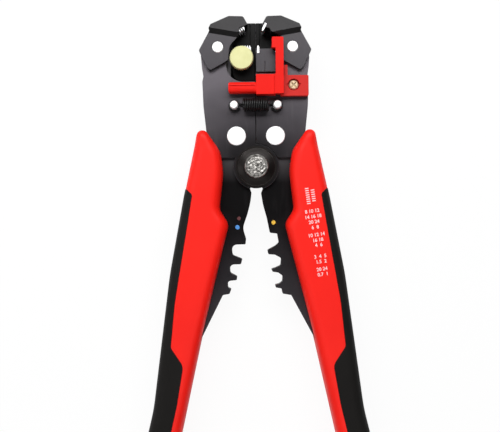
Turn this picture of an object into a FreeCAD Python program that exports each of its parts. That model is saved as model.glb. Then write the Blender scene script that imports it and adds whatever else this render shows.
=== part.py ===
import FreeCAD, Part
import Sketcher
import math
import os
from types import SimpleNamespace
from FreeCAD import Vector

# A self-adjusting wire stripper, cutter and crimper.
# It lies on its back. Z points up through the pivot bolt, Y runs from the handles to the nose,
# and the origin is the pivot axis at the table. Every length is in millimetres.
# Left and right pieces are mirror images, so a left piece has side -1 and a right piece side 1.

ROWS = [
    ("mid_height", 11.0, "height of the tool's middle plane above the table"),
    ("lever_thick", 5.0, "thickness of the two steel levers"),
    ("plate_thick", 2.0, "thickness of each head plate"),
    ("flange_thick", 2.2, "thickness of the upper jaws' side walls"),
    ("layer_gap", 0.1, "running gap between layers that slide over each other"),
    ("pin_gap", 0.05, "radial clearance of a pin that turns"),
    ("seat_gap", 0.03, "clearance round a piece that is seated for good"),
    ("swing_gap", 0.3, "clearance round a piece that swings past another"),
    ("seam_gap", 0.4, "gap between the two closed halves of the head"),
    ("seam_lap", 0.3, "reach of the left back plate's lip past the centre line"),
    ("lip_gap", 0.2, "gap between the lip of one back plate and the edge of the other"),
    ("lever_gap", 0.1, "gap between the two levers above the pivot"),
    ("bolt_radius", 3.5, "shank of the pivot bolt"),
    ("bolt_head_radius", 5.35, "round head of the pivot bolt"),
    ("bolt_head_tall", 3.2, "height of the pivot bolt's head"),
    ("ear_radius", 10.2, "round ears of the head plates at the pivot"),
    ("eye_radius", 8.4, "round eyes of the levers at the pivot"),
    ("throat_half", 3.0, "half of the width of the throat under the pivot"),
    ("throat_top", 8.5, "distance of the throat's top from the pivot"),
    ("washer_radius", 9.3, "domed washers under the nut and the bolt head"),
    ("washer_brim", 0.9, "flat rim round the dome of a washer"),
    ("washer_thick", 1.9, "height of a domed washer"),
    ("nut_flats", 11.0, "width of the pivot nut across its flats"),
    ("jaw_pin_out", 16.7, "distance of a jaw pin from the centre line"),
    ("jaw_pin_up", 53.3, "distance of the jaw pins above the pivot"),
    ("jaw_pin_radius", 2.5, "radius of a jaw pin"),
    ("jaw_eye_radius", 5.2, "plate material round a jaw pin"),
    ("jaw_close", 26.0, "turn of an upper jaw from open to closed, in degrees"),
    ("tail_arm", 5.6, "distance of a tail pin from its jaw pin"),
    ("tail_lean", 20.0, "lean of the tail arm from straight down, in degrees"),
    ("tail_pin_radius", 1.25, "radius of a tail pin"),
    ("nose_half", 8.3, "half of the nose's thickness at its crease"),
    ("nose_top_half", 4.0, "half of the nose's thickness at its top"),
    ("nose_crease", 7.8, "height of the nose's crease above the jaw pins"),
    ("crease_slope", 10.0, "fall of the nose's crease towards the centre, in degrees"),
    ("nose_top", 14.7, "height of the nose's top above the jaw pins"),
    ("nose_floor", 6.9, "height of the nose's underside above the jaw pins"),
    ("bite_line", 0.9, "height where the closed blades meet, above the jaw pins"),
    ("pad_line", 1.5, "height where the closed grip pads meet, above the jaw pins"),
    ("insert_proud", 1.9, "distance the upper pad and blade stand out of their jaws"),
    ("pad_width", 4.1, "width of the toothed grip pads"),
    ("upper_teeth", 1.5, "depth of the upper pad's teeth"),
    ("lower_teeth", 1.1, "depth of the lower pad's teeth"),
    ("pad_near", 1.9, "distance of the grip pads from the centre line"),
    ("blade_out", 1.35, "distance of the blades from the centre line"),
    ("blade_thick", 1.0, "thickness of the stripping blades"),
    ("insert_half", 5.2, "reach of the upper pad and blade in front of the middle plane"),
    ("lower_reach", 4.4, "front of the left lower jaw above the middle plane"),
    ("proud_reach", 6.0, "front of the right lower jaw above the middle plane"),
    ("lower_outer", 9.9, "width of a lower jaw"),
    ("peg_radius", 1.4, "radius of the pegs that hold the lower jaws"),
    ("body_pin_out", 8.74, "distance of a body pin from the centre line"),
    ("body_pin_up", 13.9, "distance of the body pins above the pivot"),
    ("body_pin_radius", 4.25, "radius of a body pin"),
    ("spring_pin_out", 9.65, "distance of a spring pin from the centre line"),
    ("spring_pin_up", 27.2, "distance of the spring pins above the pivot"),
    ("spring_pin_radius", 1.8, "radius of a spring pin"),
    ("spring_pin_half", 9.8, "half of the length of a spring pin"),
    ("spring_radius", 3.1, "outer radius of a tension spring"),
    ("spring_wire", 1.0, "wire of a tension spring"),
    ("spring_turns", 11.0, "number of close turns of a tension spring"),
    ("plate_beyond", 6.6, "width of the head plates outside the jaw pins"),
    ("plate_foot", 4.2, "lower edge of the head plates above the pivot"),
    ("web_rise", 12.9, "top of the back plates' webs above the jaw pins"),
    ("web_near", 5.0, "half of the width of the two webs at their top"),
    ("web_shoulder", 8.2, "end of a web's slanted edge above the jaw pins"),
    ("web_out", 9.0, "outer edge of a back plate's web from the centre line"),
    ("web_score", 2.0, "distance of the line scored in a web from the centre line"),
    ("window_deep", 15.1, "floor of the left front plate's window below the jaw pins"),
    ("notch_deep", 11.0, "floor of the right front plate's notch below the jaw pins"),
    ("knob_out", 6.1, "distance of the tension knob from the centre line"),
    ("knob_drop", 5.3, "distance of the tension knob below the jaw pins"),
    ("knob_radius", 5.3, "radius of the tension knob"),
    ("knob_tall", 2.6, "height of the knob's disc"),
    ("knob_stem_radius", 3.0, "thread of the tension knob"),
    ("stop_out", 17.0, "distance of the stop's screw from the centre line"),
    ("stop_drop", 17.1, "distance of the stop's screw below the jaw pins"),
    ("stop_screw_radius", 1.5, "shank of the stop's screw"),
    ("stop_head_radius", 2.1, "head of the stop's screw"),
    ("stop_plate_thick", 2.9, "thickness of the stop's base"),
    ("stop_sink", 2.0, "depth that the stop's screw head is sunk in its base"),
    ("rail_thick", 1.7, "thickness of the rail that carries the slider"),
    ("rail_wide", 5.2, "width of the rail that carries the slider"),
    ("arm_out", 10.7, "distance of the stop's arm from the centre line"),
    ("arm_wide", 3.5, "width of the stop's arm"),
    ("arm_reach", 10.9, "front of the stop's arm above the middle plane"),
    ("shell_thick", 22.0, "thickness of the handles"),
    ("shell_round", 2.5, "rounding of the handles' edges"),
    ("grip_length", 137.0, "length of the handles below the pivot"),
    ("return_wire", 0.4, "thickness of the return springs' steel strip"),
]

doc = FreeCAD.newDocument("wire_stripper")
sheet = doc.addObject("Spreadsheet::Sheet", "sizes")
for number, (alias, amount, meaning) in enumerate(ROWS, start=1):
    sheet.set(f"A{number}", meaning)
    sheet.set(f"B{number}", str(amount))
    sheet.setAlias(f"B{number}", alias)
doc.recompute()


class Size:
    """A number together with the expression that works it out from the sheet."""

    def __init__(self, value, text):
        self.value = value
        self.text = text

    def __add__(self, other):
        other = as_size(other)
        return Size(self.value + other.value, f"({self.text} + {other.text})")

    def __sub__(self, other):
        other = as_size(other)
        return Size(self.value - other.value, f"({self.text} - {other.text})")

    def __mul__(self, other):
        other = as_size(other)
        return Size(self.value * other.value, f"({self.text} * {other.text})")

    def __truediv__(self, other):
        other = as_size(other)
        return Size(self.value / other.value, f"({self.text} / {other.text})")

    def __radd__(self, other):
        return as_size(other) + self

    def __rsub__(self, other):
        return as_size(other) - self

    def __rmul__(self, other):
        return as_size(other) * self

    def __neg__(self):
        return as_size(0) - self

    def sin(self):
        return Size(math.sin(math.radians(self.value)), f"sin({self.text})")

    def cos(self):
        return Size(math.cos(math.radians(self.value)), f"cos({self.text})")


def as_size(number):
    if isinstance(number, Size):
        return number
    return Size(float(number), f"({float(number)!r})")


S = SimpleNamespace(**{alias: Size(amount, f"sizes.{alias}") for alias, amount, meaning in ROWS})

# Heights of the layers, measured from the middle plane. The back repeats the front.
LEVER_FACE = S.lever_thick / 2
PLATE_INNER = LEVER_FACE + S.layer_gap
PLATE_OUTER = PLATE_INNER + S.plate_thick
FLANGE_INNER = PLATE_OUTER + S.layer_gap
FLANGE_OUTER = FLANGE_INNER + S.flange_thick
PLATE_FRONT = S.mid_height + PLATE_OUTER

# Places that several pieces share, given for the right-hand side.
TAIL_IN = S.tail_arm * S.tail_lean.sin()
TAIL_DOWN = S.tail_arm * S.tail_lean.cos()
TAIL_OUT = S.jaw_pin_out - TAIL_IN
TAIL_UP = S.jaw_pin_up - TAIL_DOWN
FAR = 60.0

# Heights above the pivot or the table of what hangs on the jaw pins or the middle plane.
HEAD_WIDE = S.jaw_pin_out + S.plate_beyond
WINDOW_FLOOR = S.jaw_pin_up - S.window_deep
NOTCH_FLOOR = S.jaw_pin_up - S.notch_deep
KNOB_UP = S.jaw_pin_up - S.knob_drop
STOP_UP = S.jaw_pin_up - S.stop_drop
LOWER_FRONT = S.mid_height + S.lower_reach
LOWER_PROUD = S.mid_height + S.proud_reach
ARM_TOP = S.mid_height + S.arm_reach

finished = []


def bind(thing, prop, size):
    thing.setExpression(prop, as_size(size).text)


def new_body(name, x=0, y=0, turn=0):
    body = doc.addObject("PartDesign::Body", name)
    body.Label = name
    bind(body, "Placement.Base.x", x)
    bind(body, "Placement.Base.y", y)
    bind(body, "Placement.Rotation.Angle", turn)
    return body


def new_sketch(body, role="XY_Plane", height=0, turn=0):
    """Puts a sketch on one of the body's own planes, raised by height and turned about its normal."""
    sketch = body.newObject("Sketcher::SketchObject", f"{body.Name}_outline")
    plane = [item for item in body.Origin.OriginFeatures if item.Role == role][0]
    sketch.AttachmentSupport = [(plane, "")]
    sketch.MapMode = "FlatFace"
    bind(sketch, "AttachmentOffset.Base.z", height)
    bind(sketch, "AttachmentOffset.Rotation.Angle", turn)
    return sketch


def dimension(sketch, wanted):
    """Adds dimensions, each a kind, its places and a size, and ties them to the sheet."""
    rules = [Sketcher.Constraint(kind, *places, size.value) for kind, places, size in wanted]
    indices = sketch.addConstraint(rules)
    for index, (kind, places, size) in zip(indices, wanted):
        if "sizes." in size.text:
            sketch.setExpression(f"Constraints[{index}]", size.text)


def add_loop(sketch, corners):
    """Draws a closed outline. A corner with a third value is rounded to that radius."""
    spots = []
    for corner in corners:
        x, y = as_size(corner[0]), as_size(corner[1])
        radius = as_size(corner[2]) if len(corner) > 2 else None
        spots.append((x, y, radius))
    count = len(spots)
    points = [Vector(x.value, y.value, 0) for x, y, radius in spots]
    arrive = []
    leave = []
    for index, (x, y, radius) in enumerate(spots):
        here = points[index]
        if radius is None:
            arrive.append(here)
            leave.append(here)
            continue
        back = (points[index - 1] - here).normalize()
        ahead = (points[(index + 1) % count] - here).normalize()
        half = back.getAngle(ahead) / 2
        setback = radius.value / math.tan(half)
        arrive.append(here + back * setback)
        leave.append(here + ahead * setback)
    lines = []
    for index in range(count):
        side = Part.LineSegment(leave[index], arrive[(index + 1) % count])
        lines.append(sketch.addGeometry(side))
    rules = []
    wanted = []
    for index, (x, y, radius) in enumerate(spots):
        before = lines[index - 1]
        after = lines[index]
        if radius is None:
            rules.append(Sketcher.Constraint("Coincident", before, 2, after, 1))
            wanted.append(("DistanceX", (-1, 1, after, 1), x))
            wanted.append(("DistanceY", (-1, 1, after, 1), y))
            continue
        here = points[index]
        back = (points[index - 1] - here).normalize()
        ahead = (points[(index + 1) % count] - here).normalize()
        half = back.getAngle(ahead) / 2
        centre = here + (back + ahead).normalize() * (radius.value / math.sin(half))
        left_turn = back.cross(ahead).z < 0
        first, last = (arrive[index], leave[index]) if left_turn else (leave[index], arrive[index])
        start = math.atan2(first.y - centre.y, first.x - centre.x)
        stop = math.atan2(last.y - centre.y, last.x - centre.x)
        circle = Part.Circle(centre, Vector(0, 0, 1), radius.value)
        arc = sketch.addGeometry(Part.ArcOfCircle(circle, start, stop))
        near, away = (1, 2) if left_turn else (2, 1)
        tip = sketch.addGeometry(Part.Point(here), True)
        rules += [
            Sketcher.Constraint("Tangent", before, 2, arc, near),
            Sketcher.Constraint("Tangent", arc, away, after, 1),
            Sketcher.Constraint("PointOnObject", tip, 1, before),
            Sketcher.Constraint("PointOnObject", tip, 1, after),
        ]
        wanted.append(("DistanceX", (-1, 1, tip, 1), x))
        wanted.append(("DistanceY", (-1, 1, tip, 1), y))
        wanted.append(("Radius", (arc,), radius))
    sketch.addConstraint(rules)
    dimension(sketch, wanted)


def add_circle(sketch, x, y, radius):
    x, y, radius = as_size(x), as_size(y), as_size(radius)
    circle = Part.Circle(Vector(x.value, y.value, 0), Vector(0, 0, 1), radius.value)
    index = sketch.addGeometry(circle)
    dimension(sketch, [
        ("DistanceX", (-1, 1, index, 3), x), ("DistanceY", (-1, 1, index, 3), y),
        ("Radius", (index,), radius),
    ])


def pad(body, sketch, length, both_ways=False):
    feature = body.newObject("PartDesign::Pad", f"{body.Name}_pad")
    feature.Profile = sketch
    bind(feature, "Length", length)
    if both_ways:
        feature.SideType = "Symmetric"
    return feature


def pocket(body, sketch, length, both_ways=False, upward=False):
    """Cuts down from the sketch, up from it, or both ways by half the length."""
    feature = body.newObject("PartDesign::Pocket", f"{body.Name}_pocket")
    feature.Profile = sketch
    bind(feature, "Length", length)
    feature.Reversed = upward
    if both_ways:
        feature.SideType = "Symmetric"
    return feature


def drill(body, x, y, radius):
    """Drills a round hole right through the body, along Z."""
    sketch = new_sketch(body, height=S.mid_height)
    add_circle(sketch, x, y, radius)
    pocket(body, sketch, 2 * FAR, both_ways=True)


def mirrored(side, corners):
    """Takes corners written for the right-hand side to the side that is asked for."""
    return [(side * corner[0], *corner[1:]) for corner in corners]


def side_name(side):
    return "left" if side < 0 else "right"


def turned(name, corners, x=0, y=0):
    """Makes a round piece. Its corners are pairs of radius and height."""
    body = new_body(name, x, y)
    sketch = new_sketch(body, "XZ_Plane")
    add_loop(sketch, corners)
    feature = body.newObject("PartDesign::Revolution", f"{name}_turned")
    feature.Profile = sketch
    feature.ReferenceAxis = (sketch, ["V_Axis"])
    feature.Angle = 360
    return body


def plain_pin(name, x, y, radius, half_length, edge=0.3):
    """Makes a pin with bevelled ends, centred on the middle plane."""
    low = S.mid_height - half_length
    high = S.mid_height + half_length
    corners = [
        (0, low), (radius - edge, low), (radius, low + edge),
        (radius, high - edge), (radius - edge, high), (0, high),
    ]
    return turned(name, corners, x, y)


def head_corners(side, inner):
    """Outline of a head plate. The inner corners run from the pivot up to the jaw pin's eye."""
    wide = HEAD_WIDE
    outer = [
        (S.jaw_pin_out, S.jaw_pin_up),
        (S.jaw_pin_out + S.jaw_eye_radius, S.jaw_pin_up),
        (wide + 1.0, S.jaw_pin_up - 4.0, 2.0),
        (wide + 0.55, S.jaw_pin_up - 9.0, 3.0),
        (wide, S.jaw_pin_up - 12.6, 0.8),
        (wide + 0.5, S.jaw_pin_up - 14.9, 0.8),
        (wide + 0.1, S.spring_pin_up, 30.0),
        (wide - 1.3, S.body_pin_up, 10.0),
        (wide - 4.3, S.plate_foot, 3.0),
    ]
    start = [(inner[0][0], S.plate_foot)]
    return mirrored(side, start + inner + outer)


def head_plate(name, side, inner, low, lap_from_front):
    """Makes a head plate with its ear at the pivot, thinned to half so that two ears lap."""
    body = new_body(name)
    sketch = new_sketch(body, height=low)
    add_loop(sketch, head_corners(side, inner))
    pad(body, sketch, S.plate_thick)
    for x, y, radius in ((side * S.jaw_pin_out, S.jaw_pin_up, S.jaw_eye_radius), (0, 0, S.ear_radius)):
        boss = new_sketch(body, height=low)
        add_circle(boss, x, y, radius)
        pad(body, boss, S.plate_thick)
    shared = (S.plate_thick - S.layer_gap) / 2
    lap = new_sketch(body, height=low + (shared if lap_from_front else S.plate_thick - shared))
    add_circle(lap, 0, 0, S.ear_radius + S.swing_gap)
    pocket(body, lap, 2 * S.plate_thick, upward=lap_from_front)
    mouth = new_sketch(body, height=S.mid_height)
    add_loop(mouth, [
        (-S.throat_half, -S.throat_top), (S.throat_half, -S.throat_top),
        (S.throat_half, -2 * S.ear_radius), (-S.throat_half, -2 * S.ear_radius),
    ])
    pocket(body, mouth, 2 * FAR, both_ways=True)
    drill(body, 0, 0, S.bolt_radius + S.pin_gap)
    drill(body, side * S.jaw_pin_out, S.jaw_pin_up, S.jaw_pin_radius + S.seat_gap)
    drill(body, side * S.body_pin_out, S.body_pin_up, S.body_pin_radius + S.seat_gap)
    drill(body, side * S.spring_pin_out, S.spring_pin_up, S.spring_pin_radius + S.seat_gap)
    add_tail_slot(body, side)
    finished.append(body)
    return body


def add_tail_slot(body, side):
    """Cuts the curved slot that the tail pin travels in as its jaw turns about the jaw pin."""
    room = S.tail_pin_radius + S.swing_gap
    inner = S.tail_arm - room
    outer = S.tail_arm + room
    spread = 20.0
    open_end = -90 + S.tail_lean + spread
    shut_end = -90 + S.tail_lean - S.jaw_close - spread
    sketch = new_sketch(body, height=S.mid_height)
    ends = []
    for radius in (inner, outer):
        for angle in (open_end, shut_end):
            x = side * (S.jaw_pin_out - radius * angle.cos())
            y = S.jaw_pin_up + radius * angle.sin()
            ends.append((x, y))
    centre = Vector(side * S.jaw_pin_out.value, S.jaw_pin_up.value, 0)
    arcs = []
    for index, radius in ((0, inner), (2, outer)):
        first, last = ends[index], ends[index + 1]
        a = math.atan2(first[1].value - centre.y, first[0].value - centre.x)
        b = math.atan2(last[1].value - centre.y, last[0].value - centre.x)
        circle = Part.Circle(centre, Vector(0, 0, 1), radius.value)
        if side > 0:
            arcs.append((sketch.addGeometry(Part.ArcOfCircle(circle, a, b)), 1, 2))
        else:
            arcs.append((sketch.addGeometry(Part.ArcOfCircle(circle, b, a)), 2, 1))
    wanted = [("Radius", (arcs[0][0],), inner), ("Radius", (arcs[1][0],), outer)]
    for (arc, near, away), first, last in ((arcs[0], ends[0], ends[1]), (arcs[1], ends[2], ends[3])):
        for spot, place in ((near, first), (away, last)):
            wanted.append(("DistanceX", (-1, 1, arc, spot), place[0]))
            wanted.append(("DistanceY", (-1, 1, arc, spot), place[1]))
    dimension(sketch, wanted)
    for choice in (1, 2):
        first = ends[choice - 1]
        last = ends[choice + 1]
        line = Part.LineSegment(
            Vector(first[0].value, first[1].value, 0), Vector(last[0].value, last[1].value, 0)
        )
        edge = sketch.addGeometry(line)
        sketch.addConstraint([
            Sketcher.Constraint("Coincident", edge, 1, arcs[0][0], arcs[0][choice]),
            Sketcher.Constraint("Coincident", edge, 2, arcs[1][0], arcs[1][choice]),
        ])
    pocket(body, sketch, 2 * FAR, both_ways=True)


def make_head_plates():
    """Four plates carry everything in the head, two to each half."""
    seam = S.seam_gap / 2
    eye_low = S.jaw_pin_up - 3.0
    front_low = S.mid_height + PLATE_INNER
    back_low = S.mid_height - PLATE_OUTER
    window = [
        (seam, WINDOW_FLOOR),
        (S.knob_out + 6.9, WINDOW_FLOOR, 7.4),
        (S.knob_out + 6.9, eye_low),
    ]
    head_plate("left_front_plate", -1, window, front_low, lap_from_front=False)
    notch_side = S.lower_outer - 0.6 + S.seat_gap
    notch = [
        (seam, NOTCH_FLOOR),
        (notch_side, NOTCH_FLOOR, 0.5),
        (notch_side, S.jaw_pin_up - 1.6),
        (S.jaw_pin_out - 3.7, S.jaw_pin_up - 1.6),
    ]
    plate = head_plate("right_front_plate", 1, notch, front_low, lap_from_front=True)
    drill(plate, S.stop_out, STOP_UP, S.stop_screw_radius + S.seat_gap)
    web_top = S.jaw_pin_up + S.web_rise
    shared = (S.plate_thick - S.layer_gap) / 2
    # The back plates lap along their seam as the ears do, so that no light falls through the head.
    for side in (-1, 1):
        reach = S.seam_lap - (S.lip_gap if side > 0 else 0.0)
        ledge = S.seam_lap + (S.lip_gap if side > 0 else 0.0)
        web = [
            (-reach, web_top, 0.1),
            (S.web_near, web_top, 0.6),
            (S.web_out, S.jaw_pin_up + S.web_shoulder, 1.5),
            (S.web_out, S.jaw_pin_up - 0.3, 0.6),
            (S.jaw_pin_out - 3.7, S.jaw_pin_up - 0.3),
        ]
        plate = head_plate(
            f"{side_name(side)}_back_plate", side, web, back_low, lap_from_front=side > 0
        )
        lap = new_sketch(plate, height=back_low + (shared if side > 0 else S.plate_thick - shared))
        add_loop(lap, mirrored(side, [
            (-2.0, S.plate_foot - 1.0), (ledge, S.plate_foot - 1.0), (ledge, web_top + 1.0),
            (-2.0, web_top + 1.0),
        ]))
        pocket(plate, lap, 2 * S.plate_thick, upward=side > 0)
        score = new_sketch(plate, height=S.mid_height - PLATE_INNER)
        add_loop(score, mirrored(side, [
            (S.web_score, S.jaw_pin_up), (S.web_score + 0.3, S.jaw_pin_up),
            (S.web_score + 0.3, web_top + 1.0), (S.web_score, web_top + 1.0),
        ]))
        pocket(plate, score, 0.3)
        for x, y in peg_places(side):
            drill(plate, x, y, S.peg_radius + S.seat_gap)


def peg_places(side):
    """Centres of the two pegs that hold a lower jaw in its back plate."""
    low = NOTCH_FLOOR + 2.2
    high = S.jaw_pin_up - 3.4
    return [(side * 2.9, low), (side * (S.lower_outer - 2.9), high)]


LEFT_TEETH = [
    (2.3, -8.6), (2.9, -9.6), (2.26, -11.6), (2.75, -15.8, 30.0), (4.2, -21.2, 20.0),
    (6.4, -27.4, 6.0), (4.9, -32.4, 1.0), (5.2, -34.8, 0.4), (11.4, -34.9, 2.3), (11.2, -39.6, 1.6),
    (6.7, -41.4, 0.5), (7.3, -43.75, 0.6), (12.4, -43.9, 1.9), (12.2, -47.7, 1.3), (9.1, -49.3, 0.6),
    (9.3, -50.9, 0.5), (13.5, -51.3, 1.5), (13.3, -54.5, 1.0), (11.8, -55.0, 0.5), (12.6, -57.1, 0.8),
    (15.6, -57.6, 0.5),
]
RIGHT_TEETH = [
    (2.3, -8.6), (2.9, -9.6), (2.1, -11.6), (2.9, -16.8, 30.0), (4.6, -23.0, 20.0),
    (5.9, -29.7, 0.6), (9.2, -30.1, 0.7), (9.9, -34.2, 0.9), (8.3, -35.6, 0.6), (4.7, -37.5, 0.6),
    (5.1, -39.4, 0.5), (8.0, -39.6, 0.8), (10.9, -41.2, 1.2), (10.6, -44.5, 1.0), (8.2, -45.6, 0.8),
    (6.3, -46.1, 0.4), (7.0, -47.3, 0.4), (9.5, -47.7, 0.7), (11.5, -49.2, 1.2), (11.3, -51.8, 1.0),
    (9.8, -52.9, 0.5), (8.0, -53.3, 0.4), (8.3, -54.4, 0.4), (11.0, -54.9, 0.8), (11.3, -57.2, 0.7),
    (15.2, -57.9, 0.5),
]

NESTS_END = 58.0


def along(share):
    """Height of a place in the handle, as a share of its length below the crimp nests."""
    return -NESTS_END - share * (S.grip_length - NESTS_END)


# Inner and outer edge of the handle, and of the steel tang inside it, for the right-hand side.
HANDLE_INNER = [
    (25.0, along(0.215), 100.0), (15.4, -36.9, 60.0), (12.5, -25.6, 4.5), (16.7, -19.2, 5.0),
    (14.7, -2.0, 30.0), (16.0, 7.0, 10.0), (22.3, 16.0, 2.8),
]
HANDLE_OUTER = [
    (25.9, 16.5, 2.6), (32.3, -13.0, 80.0), (38.9, -48.0, 150.0), (46.7, along(0.633), 80.0),
]
TANG_END = along(0.53)
TANG_OUTER = [(24.0, -3.0), (27.0, -20.0), (30.3, -45.0), (31.6, along(0.152)), (33.7, TANG_END, 0.6)]
TANG_INNER = [(26.2, along(0.261)), (26.9, along(0.285)), (31.8, TANG_END, 0.6)]


def make_lever(side, teeth):
    """A lever reaches from the fork that drives its jaw to the tang in its handle."""
    body = new_body(f"{side_name(side)}_lever")
    low = S.mid_height - LEVER_FACE
    fork_top = S.jaw_pin_up - S.jaw_pin_radius - 0.4
    prong = 2.4
    fork_in = TAIL_OUT - S.tail_pin_radius - 0.15
    fork_out = TAIL_OUT + S.tail_pin_radius + 0.15
    spring_side = S.spring_pin_out + S.spring_pin_radius + S.swing_gap + 0.1
    arm_top = S.spring_pin_up - S.spring_pin_radius - 2.5
    corners = teeth + TANG_INNER + TANG_OUTER[::-1] + [
        (22.3, 6.0, 8.0),
        (HEAD_WIDE - 1.8, S.body_pin_up, 10.0),
        (HEAD_WIDE - 1.7, TAIL_UP - 8.0, 10.0),
        (fork_out + prong, TAIL_UP - 2.0, 3.0),
        (fork_out + prong, fork_top, 0.8),
        (fork_out, fork_top, 0.4),
        (fork_out, TAIL_UP - 1.6, 1.3),
        (fork_in, TAIL_UP - 1.6, 1.3),
        (fork_in, fork_top, 0.4),
        (fork_in - prong, fork_top, 0.4),
        (fork_in - prong, WINDOW_FLOOR + 1.0, 2.0),
        (spring_side, WINDOW_FLOOR - 3.0, 2.0),
        (spring_side, arm_top, 2.0),
        (S.lever_gap / 2, arm_top, 1.0),
        (S.lever_gap / 2, 6.0),
    ]
    sketch = new_sketch(body, height=low)
    add_loop(sketch, mirrored(side, corners))
    pad(body, sketch, S.lever_thick)
    eye = new_sketch(body, height=low)
    add_circle(eye, 0, 0, S.eye_radius)
    pad(body, eye, S.lever_thick)
    shared = LEVER_FACE - S.layer_gap / 2
    lap_height = low + shared if side > 0 else low + S.lever_thick - shared
    lap = new_sketch(body, height=lap_height)
    add_circle(lap, 0, 0, S.eye_radius + S.swing_gap)
    pocket(body, lap, 2 * S.lever_thick, upward=side > 0)
    drill(body, 0, 0, S.bolt_radius + S.pin_gap)
    slot = new_sketch(body, height=S.mid_height)
    left, right, bottom, top = pin_window()
    add_loop(slot, mirrored(side, [
        (right, bottom, 4.4), (left, bottom, 1.0), (left, top, 1.0), (right, top, 4.4),
    ]))
    pocket(body, slot, 2 * FAR, both_ways=True)
    finished.append(body)
    return body


def pin_window():
    """Edges of the window in a lever that its body pin and return spring lie in."""
    left = S.body_pin_out - S.body_pin_radius - 1.9
    right = S.body_pin_out + S.body_pin_radius + 0.35
    bottom = S.body_pin_up - S.body_pin_radius - 0.35
    top = S.body_pin_up + S.body_pin_radius + 0.9
    return left, right, bottom, top


def make_return_spring(side):
    """A bow of spring steel between the body pin and the window's inner wall."""
    body = new_body(f"{side_name(side)}_return_spring")
    left, right, bottom, top = pin_window()
    wall = left + 0.05
    crown = S.body_pin_out - S.body_pin_radius - 0.05
    reach = 3.2
    middle = S.body_pin_up
    thin = S.return_wire
    sketch = new_sketch(body, height=S.mid_height)
    add_loop(sketch, mirrored(side, [
        (wall, middle - reach),
        (wall + thin, middle - reach),
        (crown, middle, 2.5),
        (wall + thin, middle + reach),
        (wall, middle + reach),
        (crown - thin, middle, 2.1),
    ]))
    pad(body, sketch, S.lever_thick - 1.2, both_ways=True)
    finished.append(body)


def make_pins():
    for side in (-1, 1):
        name = side_name(side)
        finished.append(plain_pin(
            f"{name}_jaw_pin", side * S.jaw_pin_out, S.jaw_pin_up,
            S.jaw_pin_radius, FLANGE_OUTER + 0.3,
        ))
        finished.append(plain_pin(
            f"{name}_tail_pin", side * TAIL_OUT, TAIL_UP,
            S.tail_pin_radius, FLANGE_OUTER - 0.7, edge=0.2,
        ))
        finished.append(plain_pin(
            f"{name}_body_pin", side * S.body_pin_out, S.body_pin_up,
            S.body_pin_radius, PLATE_OUTER + 0.2, edge=0.2,
        ))
        half = S.spring_pin_half
        radius = S.spring_pin_radius
        neck = radius - 0.3
        neck_low, neck_high = hook_band()
        profile = [(0, S.mid_height - half), (radius - 0.4, S.mid_height - half)]
        lower = [(radius, 0.4 - half), (radius, -neck_high), (neck, -neck_high), (neck, -neck_low),
                 (radius, -neck_low)]
        upper = [(wide, -tall) for wide, tall in reversed(lower)]
        for wide, tall in lower + upper:
            profile.append((wide, S.mid_height + tall))
        profile += [(radius - 0.4, S.mid_height + half), (0, S.mid_height + half)]
        finished.append(turned(
            f"{name}_spring_pin", profile, side * S.spring_pin_out, S.spring_pin_up,
        ))


def hook_band():
    """Heights above the middle plane between which a spring's hook lies round its pin."""
    low = PLATE_OUTER + 0.4
    return low, low + S.spring_wire + 0.3


def jaw_turn(side):
    """Turn from the closed pose of an upper jaw to the open one it is drawn in."""
    return -side * S.jaw_close


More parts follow.
